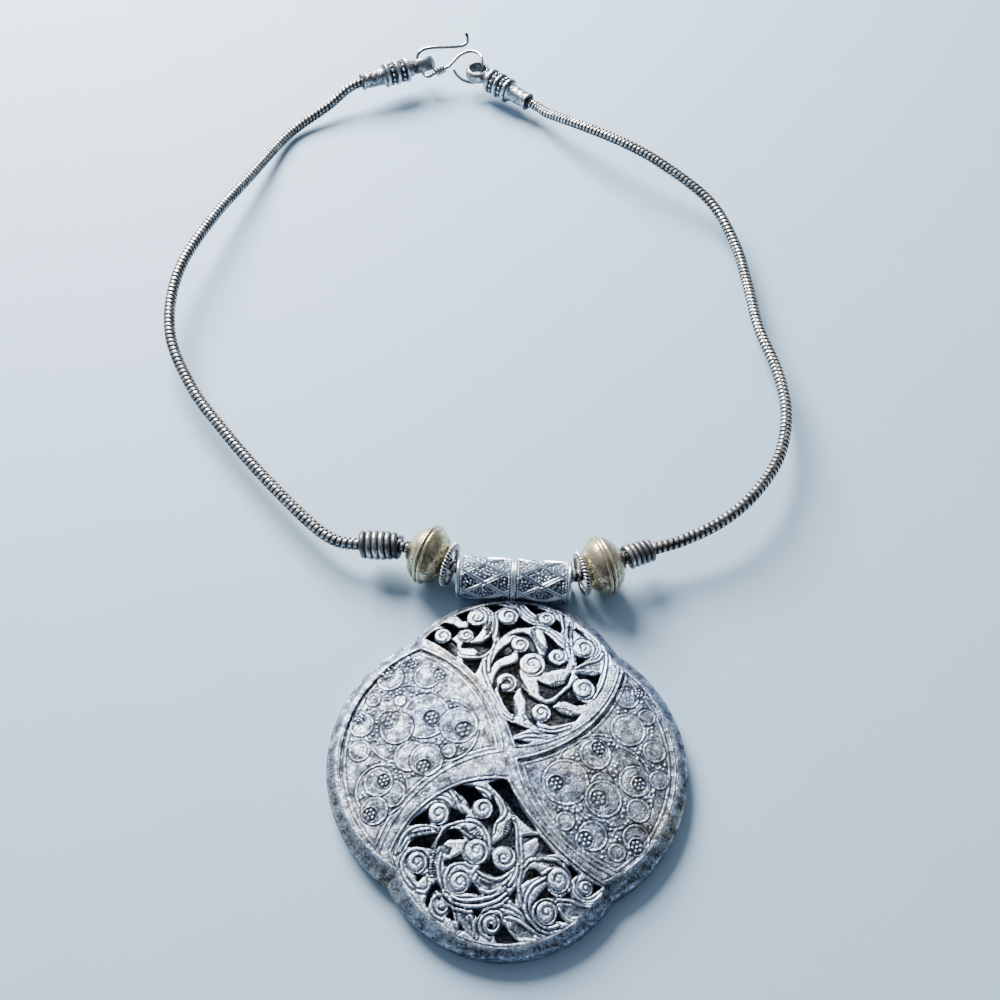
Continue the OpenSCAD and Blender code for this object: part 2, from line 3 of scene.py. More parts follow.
import bpy
import numpy as np
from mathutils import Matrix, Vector


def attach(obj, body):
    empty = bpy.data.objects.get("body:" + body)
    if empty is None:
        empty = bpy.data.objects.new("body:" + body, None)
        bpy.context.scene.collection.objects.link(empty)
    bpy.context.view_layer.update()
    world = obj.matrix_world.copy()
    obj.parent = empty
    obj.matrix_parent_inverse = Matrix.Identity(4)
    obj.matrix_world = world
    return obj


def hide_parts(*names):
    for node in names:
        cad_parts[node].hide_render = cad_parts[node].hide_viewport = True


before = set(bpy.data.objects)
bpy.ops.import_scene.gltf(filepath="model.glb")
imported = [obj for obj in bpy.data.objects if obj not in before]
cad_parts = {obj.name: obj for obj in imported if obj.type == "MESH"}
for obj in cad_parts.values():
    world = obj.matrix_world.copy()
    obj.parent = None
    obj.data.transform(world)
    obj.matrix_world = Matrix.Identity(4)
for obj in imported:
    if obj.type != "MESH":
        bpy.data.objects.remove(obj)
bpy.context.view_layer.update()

# The view: from the wearer's side, 55 degrees down, over the medallion's far edge. The
# medallion fills the front of the picture and the clasp lies at the back.
def set_down(name, data):
    """An object with a name and its data, linked to the scene."""
    thing = bpy.data.objects.new(name, data)
    bpy.context.scene.collection.objects.link(thing)
    return thing


camera = set_down("camera", bpy.data.cameras.new("camera"))
camera.data.lens = 38.88
camera.data.sensor_width = 36
camera.data.clip_start = 0.01
aim = Vector((0.00784, -0.03263, 0))
camera.location = (0.00784, -0.17717, 0.20643)
camera.rotation_euler = (aim - camera.location).to_track_quat("-Z", "Y").to_euler()
bpy.context.scene.camera = camera

# The light: one broad soft window beyond the clasp and to its left, and a pale room that is
# brighter towards the window than on the wearer's side, which is what the silver mirrors.
WINDOW_AT, WINDOW_SIZE, WINDOW_POWER = Vector((-0.26, 0.48, 0.40)), 0.44, 22.5
lamp = set_down("window", bpy.data.lights.new("window", "AREA"))
lamp.data.shape = "DISK"
lamp.data.size = WINDOW_SIZE
lamp.data.energy = WINDOW_POWER
lamp.data.color = (1.0, 0.985, 0.96)
lamp.location = WINDOW_AT
lamp.rotation_euler = (Vector((0, -0.05, 0)) - WINDOW_AT).to_track_quat("-Z", "Y").to_euler()


def fed(node, values):
    """A node whose inputs, by label or number, take a value or another node's output."""
    for label, value in values.items():
        if isinstance(value, bpy.types.NodeSocket):
            node.id_data.links.new(value, node.inputs[label])
        else:
            node.inputs[label].default_value = value
    return node


def toned(tree, factor, first, last, between=()):
    """A colour that runs from a first tone to a last one as a factor grows from 0 to 1."""
    ramp = fed(tree.nodes.new("ShaderNodeValToRGB"), {"Fac": factor})
    stops = ramp.color_ramp.elements
    stops[0].color = first
    stops[1].color = last
    for place, tone in between:
        stops.new(place).color = tone
    return ramp.outputs["Color"]


world = bpy.data.worlds.new("room")
world.use_nodes = True
sky = world.node_tree
towards = sky.nodes.new("ShaderNodeVectorMath")
towards.operation = "DOT_PRODUCT"
fed(towards, {0: sky.nodes.new("ShaderNodeTexCoord").outputs["Generated"],
              1: Vector((-0.25, 0.80, 0.55)).normalized()})
fed(sky.nodes["Background"], {"Strength": 0.70, "Color": toned(
    sky, towards.outputs["Value"], (0.17, 0.20, 0.24, 1), (0.92, 0.96, 1.0, 1),
    [(0.45, (0.50, 0.55, 0.62, 1)), (0.80, (0.76, 0.81, 0.88, 1))])})
bpy.context.scene.world = world

# The table: smooth pale blue-grey board that everything lies on. It is no part of the
# necklace.
BOARD_HALF = 1.2
board = bpy.data.meshes.new("table")
board.from_pydata([(BOARD_HALF * x, BOARD_HALF * y, 0)
                   for x, y in ((-1, -1), (1, -1), (1, 1), (-1, 1))], [], [(0, 1, 2, 3)])
paint = bpy.data.materials.new("table paint")
paint.use_nodes = True
coat = paint.node_tree
cloudy = fed(coat.nodes.new("ShaderNodeTexNoise"), {
    "Scale": 60, "Vector": coat.nodes.new("ShaderNodeTexCoord").outputs["Object"]})
fed(coat.nodes["Principled BSDF"], {"Roughness": 0.7, "Base Color": toned(
    coat, cloudy.outputs["Fac"], (0.365, 0.52, 0.685, 1), (0.385, 0.54, 0.705, 1))})
board.materials.append(paint)
table = set_down("table", board)


# The antique silver that most pieces share: pale where it is worn, blackened where dirt and
# oxide stay, and clouded with a warm or a violet bloom. Each mesh carries in a mask how deep
# each point lies; on the chain and the hook the same mask also holds painted shade.
def make_patina_group():
    group = bpy.data.node_groups.new("patina", "ShaderNodeTree")
    face = group.interface
    for label, kind, value in [
            ("Worn", "NodeSocketColor", (0.70, 0.81, 0.97, 1)),
            ("Body", "NodeSocketColor", (0.22, 0.26, 0.32, 1)),
            ("Deep", "NodeSocketColor", (0.015, 0.02, 0.03, 1)),
            ("Bloom", "NodeSocketColor", (0.17, 0.22, 0.37, 1)),
            ("Stain", "NodeSocketColor", (0.30, 0.28, 0.20, 1)),
            ("Bloom Amount", "NodeSocketFloat", 0.5),
            ("Grain Scale", "NodeSocketFloat", 2400.0),
            ("Grain Amount", "NodeSocketFloat", 1.5),
            ("Mottle", "NodeSocketFloat", 0.2)]:
        socket = face.new_socket(name=label, in_out="INPUT", socket_type=kind)
        socket.default_value = value
    for label, kind in [("Color", "NodeSocketColor"), ("Roughness", "NodeSocketFloat"),
                        ("Metal", "NodeSocketFloat"), ("Height", "NodeSocketFloat")]:
        face.new_socket(name=label, in_out="OUTPUT", socket_type=kind)
    nodes = group.nodes
    given = nodes.new("NodeGroupInput")
    result = nodes.new("NodeGroupOutput")
    coords = nodes.new("ShaderNodeTexCoord")
    mask = nodes.new("ShaderNodeAttribute")
    mask.attribute_name = "cavity"

    def noise(scale, detail, rough):
        return fed(nodes.new("ShaderNodeTexNoise"), {
            "Vector": coords.outputs["Object"], "Scale": scale, "Detail": detail,
            "Roughness": rough}).outputs["Fac"]

    def ramp(value, low, high, to_low=0.0, to_high=1.0):
        return fed(nodes.new("ShaderNodeMapRange"), {
            "Value": value, "From Min": low, "From Max": high, "To Min": to_low,
            "To Max": to_high}).outputs["Result"]

    def maths(how, a, b):
        node = nodes.new("ShaderNodeMath")
        node.operation = how
        return fed(node, {0: a, 1: b}).outputs[0]

    def mix(factor, a, b):
        node = nodes.new("ShaderNodeMix")
        node.data_type = "RGBA"
        return fed(node, {"Factor": factor, "A": a, "B": b}).outputs["Result"]

    grain = noise(given.outputs["Grain Scale"], 3, 0.7)
    cloud = noise(75, 3, 0.55)
    warm = noise(48, 2, 0.5)
    fleck = noise(460, 6, 0.85)
    offset = maths("MULTIPLY", maths("SUBTRACT", grain, 0.5), given.outputs["Grain Amount"])
    depth = maths("ADD", mask.outputs["Fac"], offset)
    blotch = maths("MULTIPLY", ramp(fleck, 0.40, 0.60, -1.0, 1.0), given.outputs["Mottle"])
    depth = maths("ADD", depth, blotch)
    clouded = maths("MULTIPLY", ramp(cloud, 0.42, 0.62), given.outputs["Bloom Amount"])
    stained = maths("MULTIPLY", ramp(warm, 0.52, 0.66), given.outputs["Bloom Amount"])
    body = mix(clouded, given.outputs["Body"], given.outputs["Bloom"])
    body = mix(stained, body, given.outputs["Stain"])
    worn = mix(ramp(depth, 0.50, 0.10), body, given.outputs["Worn"])
    colour = mix(ramp(depth, 0.55, 0.95), worn, given.outputs["Deep"])
    rough = ramp(depth, 0.1, 0.8, 0.2, 0.5)
    metal = ramp(depth, 0.55, 0.95, 1.0, 0.5)
    height = maths("ADD", maths("MULTIPLY", grain, 0.6), maths("MULTIPLY", fleck, 0.4))
    fed(result, {"Color": colour, "Roughness": rough, "Metal": metal, "Height": height})
    return group


patina = make_patina_group()
BUMP_DEPTH = 0.0003


def metal(name, bump=0.25, **values):
    """A metal material that takes its colour, gloss and grain from the patina group."""
    material = bpy.data.materials.new(name)
    material.use_nodes = True
    nodes = material.node_tree.nodes
    group = nodes.new("ShaderNodeGroup")
    group.node_tree = patina
    fed(group, {label.replace("_", " "): value for label, value in values.items()})
    ridge = fed(nodes.new("ShaderNodeBump"), {
        "Strength": bump, "Distance": BUMP_DEPTH, "Height": group.outputs["Height"]})
    fed(nodes["Principled BSDF"], {
        "Base Color": group.outputs["Color"], "Roughness": group.outputs["Roughness"],
        "Metallic": group.outputs["Metal"], "Normal": ridge.outputs["Normal"]})
    return material


# The medallion: a hollow four-lobed pendant of sheet silver with a plain closed back, a low
# side wall and a sloping rim soldered round a domed front. Four bands cross the dome; the
# fields between them are cast, pierced and chased, and let in.
WALL_H, DOME_H, DOME_R, BAND_RISE, SHEET, RIM_SLOPE = 3.2, 8.2, 170.0, 0.6, 1.1, 0.75
MEDALLION_AT, MEDALLION_TURN = (9.14, -97.63), -4
PLAIN_CELL, FINE_CELL = 0.2, 0.14
LOBES = [(-6.6, 0, 28.8), (6.6, 0, 28.8), (0, 11.9, 25), (0.3, -11.8, 24.8)]
FIELDS = {
    # inside the first two circles and outside the third: x, y, radius
    "top": [(0, 12.3, 22.8), (-0.8, 23.9, 22.4), (-38, -12.5, 42.1)],
    "left": [(-6.6, 0, 25.9), (-28.5, -4, 27.7), (4, -26.7, 27.7)],
    "right": [(6.6, 0, 25.9), (30.3, 7, 29.3), (-4, 25.2, 27.2)],
    "bottom": [(0.6, -12.3, 21.9), (-0.7, -25.6, 20.2), (37.8, 15.5, 42.8)],
}
medallion_silver = metal("antique silver", bump=1.0, Bloom_Amount=0.8, Mottle=0.38)


def placed(name, mesh, cavity, node):
    """A piece of the necklace from its mesh, with the mask and the node it stands for."""
    mask = mesh.attributes.new("cavity", "FLOAT", "POINT")
    mask.data.foreach_set("value", np.asarray(cavity, dtype=np.float32))
    piece = set_down(name, mesh)
    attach(piece, "root")
    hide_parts(node)


def finished(name, points, faces, cavity, material, node, sharp=50):
    """A finished piece from points in millimetres in the necklace's frame."""
    mesh = bpy.data.meshes.new(name)
    mesh.from_pydata((np.asarray(points) * 0.001).tolist(), [], faces)
    mesh.shade_smooth()
    mesh.set_sharp_from_angle(angle=math.radians(sharp))
    mesh.materials.append(material)
    placed(name, mesh, cavity, node)


def circle(x, y, c):
    """Distance to a circle's edge, negative inside."""
    return np.hypot(x - c[0], y - c[1]) - c[2]


def field_edge(x, y, name):
    a, b, c = FIELDS[name]
    return np.maximum(np.maximum(circle(x, y, a), circle(x, y, b)), -circle(x, y, c))


def outline(x, y):
    return np.min([circle(x, y, lobe) for lobe in LOBES], axis=0)


def dome(x, y, drop):
    return DOME_H - DOME_R + np.sqrt((DOME_R - drop) ** 2 - x * x - y * y)


def line(distance, width):
    """1 on a line, falling away to each side of it."""
    return np.exp(-(distance / width) ** 2)


def spun(x, y, degrees):
    """Two coordinates turned by an angle."""
    c, s = math.cos(math.radians(degrees)), math.sin(math.radians(degrees))
    return x * c - y * s, x * s + y * c


def on_table(x, y, z):
    """From the medallion's own millimetres to the necklace's."""
    x, y = spun(x, y, MEDALLION_TURN)
    return np.stack([x + MEDALLION_AT[0], y + MEDALLION_AT[1], z], axis=-1)


def on_medallion(name, points, faces, cavity):
    """A finished piece of the medallion from points in its own millimetres."""
    finished(name, on_table(*points.T), faces, cavity, medallion_silver, "medallion")


def bowed(a, b, bow, t):
    """A point at a part t of the way from a to b, along an edge that bows aside."""
    across, along = b[0] - a[0], b[1] - a[1]
    push = 4 * bow * t * (1 - t) / math.hypot(across, along)
    return a[0] + across * t + push * along, a[1] + along * t - push * across


def route(corners, step):
    """Even points on a smooth curve through the corners."""
    p = np.array(corners, dtype=float)
    p = np.vstack([p[:1], p, p[-1:]])
    fine = []
    for a, b, c, d in zip(p, p[1:], p[2:], p[3:]):
        for t in np.linspace(0, 1, 40, endpoint=False):
            fine.append(0.5 * (2 * b + (c - a) * t + (2 * a - 5 * b + 4 * c - d) * t * t
                               + (3 * b - a - 3 * c + d) * t ** 3))
    fine = np.array(fine + [p[-1]])
    reach = np.insert(np.cumsum(np.linalg.norm(np.diff(fine, axis=0), axis=1)), 0, 0)
    at = np.linspace(0, reach[-1], max(2, int(round(reach[-1] / step)) + 1))
    return np.stack([np.interp(at, reach, fine[:, k]) for k in range(p.shape[1])], -1), at


def blurred(grid, reach):
    """A grid averaged over a square of 2 * reach + 1 cells."""
    wide = np.pad(grid, reach, mode="edge")
    for axis in (0, 1):
        sums = np.cumsum(wide, axis=axis)
        sums = np.insert(sums, 0, 0, axis=axis)
        n = 2 * reach + 1
        wide = (np.take(sums, range(n, sums.shape[axis]), axis)
                - np.take(sums, range(sums.shape[axis] - n), axis)) / n
    return wide


def underside(x, y, z):
    return z - SHEET


def sheet(distance, height, box, depth_of, cell=FINE_CELL, foot=underside):
    """A raised sheet over the points where distance is negative, with walls down to foot."""
    x, y = np.meshgrid(np.arange(box[0], box[2] + cell, cell),
                       np.arange(box[1], box[3] + cell, cell))
    d = distance(x, y)
    dy, dx = np.gradient(d, cell)
    near = np.abs(d) < 0.5 * cell
    pull = np.where(near, d / np.maximum(dx * dx + dy * dy, 0.3), 0)
    x, y = x - pull * dx, y - pull * dy
    good = (d <= 0) | near
    z = height(x, y)
    cavity = depth_of(z, x, y)
    index = np.arange(x.size).reshape(x.shape)
    ring = [index[:-1, :-1], index[:-1, 1:], index[1:, 1:], index[1:, :-1]]
    ok = np.stack([good.ravel()[r] for r in ring], -1)
    edge = np.stack([near.ravel()[r] for r in ring], -1)
    corners = np.stack(ring, -1)
    full = ok.all(-1) & ~edge.all(-1)
    quads = corners[full]
    three = ok.sum(-1) == 3
    tris = []
    for skip in range(4):
        keep = [k for k in range(4) if k != skip]
        mine = three & ~ok[..., skip] & ~edge[..., keep].all(-1)
        tris.append(corners[mine][:, keep])
    tris = np.concatenate(tris)
    starts = np.concatenate([quads.ravel(), tris.ravel()])
    ends = np.concatenate([np.roll(quads, -1, 1).ravel(), np.roll(tris, -1, 1).ravel()])
    n = x.size
    forward = starts.astype(np.int64) * n + ends
    back = ends.astype(np.int64) * n + starts
    rim = ~np.isin(forward, back)
    p, q = starts[rim], ends[rim]
    used = np.unique(starts)
    places = np.full(n, -1)
    places[used] = np.arange(len(used))
    edge_points = np.unique(p)
    low = np.full(n, -1)
    low[edge_points] = len(used) + np.arange(len(edge_points))
    flat = np.stack([x.ravel(), y.ravel(), z.ravel()], -1)
    foot_z = foot(flat[edge_points, 0], flat[edge_points, 1], flat[edge_points, 2])
    points = np.concatenate([flat[used], np.column_stack([flat[edge_points, :2], foot_z])])
    dark = np.concatenate([cavity.ravel()[used], np.full(len(edge_points), 1.0)])
    walls = np.stack([places[p], low[p], low[q], places[q]], -1)
    faces = places[quads].tolist() + places[tris].tolist() + walls.tolist()
    return points, faces, dark, (low[p], low[q])


def hollows(z, x, y):
    """How far each point lies under what is round it, from 0 on a ridge to 1 in a groove."""
    relief = z - dome(x, y, 0)
    return np.clip(0.63 + (blurred(relief, 4) - relief) * 3.4, 0, 1)


def sunken(z, x, y):
    """The same for pierced work, whose lower leaves have never been rubbed bright."""
    low = np.clip((dome(x, y, 0.62) - z) * 2, -0.2, 0.4)
    return np.clip(hollows(z, x, y) - 0.1 + low, 0, 1)


# Bands, rim, side wall and back. A thin wire and a groove follow each edge of the bands,
# and a finer wire runs round the foot of the rim.
def band_edge(x, y):
    return -np.min([field_edge(x, y, name) for name in FIELDS], axis=0)


def shell_height(x, y):
    rim = np.max([WALL_H - circle(x, y, lobe) * RIM_SLOPE for lobe in LOBES], axis=0)
    crest = np.minimum(dome(x, y, 0.12), rim)
    inner = -band_edge(x, y)
    outer = -outline(x, y)
    on_dome = rim > dome(x, y, 0)
    relief = 0.08 * line(inner - 0.3, 0.16) - 0.14 * line(inner - 0.66, 0.11)
    relief = np.where(on_dome, relief, 0.08 * line(outer - 0.3, 0.2))
    relief -= 0.12 * line(rim - dome(x, y, 0), 0.1)
    return crest + relief - 0.10 * line(inner, 0.1)


# the strip along the outline that drops to the foot, how far in the foot and the floor's
# edge stand, as parts of the way from the middle, and the floor's height
NEAR_WALL, HAIR_IN, FLOOR_IN, FLOOR_Z = 0.3, 0.9995, 0.96, 1.0
points, faces, dark, (low_p, low_q) = sheet(
    lambda x, y: np.maximum(outline(x, y), band_edge(x, y)), shell_height,
    (-36, -37.5, 36, 37.5), hollows, PLAIN_CELL,
    lambda x, y, z: np.where(outline(x, y) > -NEAR_WALL, 0.0, z - SHEET))
outside = outline(points[:, 0], points[:, 1]) > -NEAR_WALL
points[:, :2][outside] = points[:, :2][outside] * HAIR_IN
middle = len(points)
points = np.vstack([points, [[0, 0, 0]]])
dark = np.append(dark, 0.4)
faces += [[b, a, middle] for a, b in zip(low_p, low_q)
          if points[a, 2] == 0 and points[b, 2] == 0]
inside = {}
for a in np.unique(low_p[points[low_p, 2] == 0]):
    inside[a] = len(points) + len(inside)
floor_points = np.array([[points[a, 0] * FLOOR_IN, points[a, 1] * FLOOR_IN, FLOOR_Z]
                         for a in inside])
centre = len(points) + len(floor_points)
faces += [[inside[a], inside[b], centre] for a, b in zip(low_p, low_q)
          if a in inside and b in inside]
points = np.vstack([points, floor_points, [[0, 0, FLOOR_Z]]])
dark = np.append(dark, np.full(len(floor_points) + 1, 0.8))
dark[:middle][points[:middle, 2] == 0] = 0.5
on_medallion("medallion_shell", points, faces, dark)


# The pierced fields at the top and bottom: scrolls of leaves and rolled curls, cast and
# filed, with everything between them sawn out.
CURL_TURNS = 1.45
SCROLLS = {}
SCROLLS["top"] = {
    "box": (-20, 1, 22, 35.6),
    # corners of what is sawn out: x, y and the bow of the edge that starts there
    "openings": [
        [(-19.4, 25, -0.15), (-11.8, 20.8, 0.2), (-12.1, 24), (-13, 24.8), (-16.2, 27.4, 0.4)],
        [(-15.7, 31, -0.1), (-12.3, 31.1), (-11.3, 29.8), (-10.2, 30.2), (-10.3, 33.2, 0.55)],
        [(-18.3, 28), (-15.6, 28.4, -0.55), (-13.1, 25.3, 0.2), (-11.6, 27.5), (-9.9, 27.4),
         (-8.5, 25.4, 0.25), (-6.9, 28.6), (-7.3, 29.4), (-9.9, 28.9), (-9.95, 28.2, -0.2),
         (-12.2, 28.1, 0.25), (-15.3, 29.2, 0.25)],
        [(-10.9, 23), (-8.4, 22.95, -0.15), (-7.1, 22), (-7.6, 21.5), (-6.5, 21.3, 0.2),
         (-4.7, 23.6, 0.15), (-4.95, 26.3, -0.6), (-8.6, 24.2), (-10.4, 24.4)],
        [(-10.3, 20.2), (-9.9, 19), (-7.5, 16.9, 0.1), (-6.5, 20.3, -0.2)],
        [(-8.3, 34.8, -0.25), (-4.8, 32.5, -0.1), (-2.8, 34.1, 0.1), (-6, 35.05, 0.1)],
        [(-3.3, 25.6, -0.95), (3.3, 29.1), (4.4, 29.6), (2.6, 30.1, -0.15), (0.45, 32),
         (-1.7, 30.5), (-3.6, 30.2, -0.15)],
        [(1.2, 35.7), (4.1, 32.6, -0.1), (6.1, 33.7, 0.1)],
        [(7, 29.7), (9.2, 28.2), (9.8, 28.9, 0.15), (8.8, 31.5)],
        [(12.4, 29.1), (14.1, 28.1), (15.4, 26.9, 0.15), (12.7, 29.9)],
        [(12.8, 22.9), (13.1, 20.3, -0.1), (15.3, 22.3)],
        [(6, 27.9, -0.2), (6.9, 24, -0.15), (6.3, 22), (6.9, 18.2), (8.3, 18.9), (10.8, 19.6),
         (11.1, 21), (9.5, 22), (10.3, 24.2), (9, 25, 0.15)],
        [(-1.1, 26.6, -0.1), (0.8, 26.8), (1.1, 20.9), (1.7, 20.4), (5, 22.7, 0.15), (2.9, 27, 0.1),
         (1.7, 27.5, 0.15)],
        [(-4.55, 17.2, -0.3), (-3.3, 20.3, -0.1), (-0.6, 21.8), (0, 23), (0.2, 25.6, 0.15),
         (-3, 22.5, 0.4)],
        [(-3.45, 13.1), (-2.9, 14.8), (-1, 15), (1, 13.4), (1.7, 14.2), (2.1, 15.2), (1.3, 18),
         (1.5, 21.3), (0.4, 19.85), (-2.2, 18.65, 0.3), (-3.7, 15, 0.1)],
        [(2, 14.3), (2.4, 13), (3.2, 11.4), (3.25, 8.8), (4, 7.3), (5.9, 5.6), (5.3, 6.8),
         (6.2, 8.5), (6.9, 6.8), (8.2, 6.3, 0.1), (13.2, 8), (13.9, 9.2), (12, 8.8, -0.1),
         (9.7, 9.4), (8.3, 10.5), (9.6, 11.7), (11, 12.05), (13.2, 11.3), (15.2, 11.8),
         (13.3, 12.7), (12.2, 15.4), (11.8, 15, 0.1), (8.9, 11.6, -0.1), (7, 11.05, -0.1),
         (3.7, 12.5), (3, 13.5)],
        [(12.9, 18.5, -0.1), (14.6, 16), (16.7, 15.2, 0.1), (17.9, 18.9), (16.6, 18.5, -0.05)],
        [(5.3, 15.9), (5.7, 14.6), (5.9, 12.9), (7.1, 12.15, 0.05), (8.3, 12.5, 0.1),
         (11.3, 16.1, 0.05), (12, 18.6), (11.2, 17.6), (10.7, 16, -0.1), (8.4, 14.95, -0.1)],
        [(-0.8, 6.9), (-0.3, 5.6, 0.1), (0.7, 3.5), (3.8, 5.3), (1.7, 6)],
        [(0.9, 2.9), (1.6, 1.5), (4.5, 2.5), (3, 2.7)]],
    # the same, for openings that wind into a curl
    "eyes": [
        [(-2.55, 14.6), (-2.4, 13), (-1.3, 10.5), (0.3, 8.3), (1, 8.5, -0.1), (0.45, 11.9),
         (1.1, 13.4), (0.2, 12.95), (-1, 12.9), (-1.85, 13.4), (-1.9, 14.3), (-1.3, 14.9),
         (-0.6, 14.8), (-0.1, 13.9), (-0.1, 15.2, 0.1), (-1, 15.95, 0.1)]],
    # x, y, radius, turn of the spiral
    "curls": [
        (-15.1, 25.7, 1.8, -1), (-10.1, 26, 1.55, -1), (-8.3, 30.8, 2.2, 1), (-1.75, 31.5, 2.2, -1),
        (6.45, 31.5, 1.75, -1), (1.15, 24.4, 1.9, -1), (9.1, 22.1, 2, 1), (14.5, 24.8, 2.3, -1),
        (4, 19.75, 2.7, -1), (-1, 15.15, 2.1, -1), (14.6, 15.1, 2.3, -1), (6.25, 8.9, 1.95, -1)],
    # start x, y, end x, y, bow, teeth, length of a tooth
    "combs": [
        (-5, 30, -4.9, 26.3, 0, 9, 1.1), (3.3, 28.6, 6.7, 23, 1.1, 14, -1.1),
        (8, 15.4, 11, 16.6, -0.2, 6, 1.1), (1.9, 16.2, 3.6, 13, -0.2, 8, 1.1),
        (0.5, 11.5, 1.8, 7.8, -0.3, 9, 0.9), (8.9, 10.2, 13.4, 9.1, -0.4, 10, 0.9),
        (13.4, 19, 17.8, 19.2, -0.1, 10, 0.9), (11.8, 30.3, 12.2, 26.7, 0, 8, 0.9)],
    # raised strands, each with a groove on both sides: points along it
    "strands": [
        [(-9.8, 34.2), (-7.4, 33.6), (-5.9, 32.1), (-5.6, 30), (-6.3, 28.2)],
        [(-8.6, 33.5), (-7, 32.6), (-6.4, 31.2), (-6.6, 29.4)],
        [(-5.1, 32.1), (-4.8, 29.4), (-5.1, 27), (-6, 25.6)],
        [(-12.2, 22.4), (-10.8, 20.9), (-8.6, 20.6), (-6.3, 21), (-4.5, 23.2), (-4.1, 26),
         (-3.9, 29), (-4.4, 31.6)],
        [(-6.6, 35.6), (-3.4, 35.6), (-1, 34.8), (0.4, 33), (0.6, 31)],
        [(-0.4, 35.2), (0.9, 32.8), (3, 31), (4.6, 30.6)],
        [(1.2, 35.4), (2.4, 33.6), (4.1, 32)],
        [(8.6, 34.3), (9.5, 32.6), (9.9, 30.6), (9.9, 28.6)],
        [(-4.2, 24.6), (-2.4, 27), (0.4, 28.7), (4, 29.2), (7.4, 28.3), (9.6, 26.4), (11.4, 24.6)],
        [(12.5, 29), (14.7, 28.1), (16.6, 26.6), (17.1, 24.6), (16, 22.8)],
        [(11.8, 30.8), (11.7, 27.6), (12, 24), (12.3, 20.6)],
        [(10.9, 25.3), (11.5, 22.4), (12, 19.6)],
        [(13, 19.9), (15.2, 21.3), (17.4, 22.2), (18.4, 24)],
        [(18.4, 26.2), (19.2, 23), (18.9, 19.6), (18.1, 16.2), (16.6, 13.4)],
        [(-5.9, 19.6), (-5.6, 17.2), (-4.6, 14.8), (-3, 11.6), (-1.3, 8.6), (0.6, 7.2)],
        [(-4.5, 22.6), (-5, 20), (-4.7, 17.6)],
        [(3.2, 8), (4.2, 6.4), (6.2, 5.3), (9, 5.1), (12, 6.3)],
        [(3.4, 6.7), (6, 4.6), (9.4, 4.2)],
        [(1.2, 2.8), (3.4, 3.7), (6, 3.9), (8.8, 3.8)]],
    # sunk leaf blades: corners of the outline
    "blades": [
        [(9.9, 33), (9.7, 29), (10.6, 25.6), (11.3, 28), (11.4, 31)],
        [(13.2, 19.6), (15.5, 20.9), (18.2, 21.7), (17.9, 19.9), (15, 19.4)]],
}
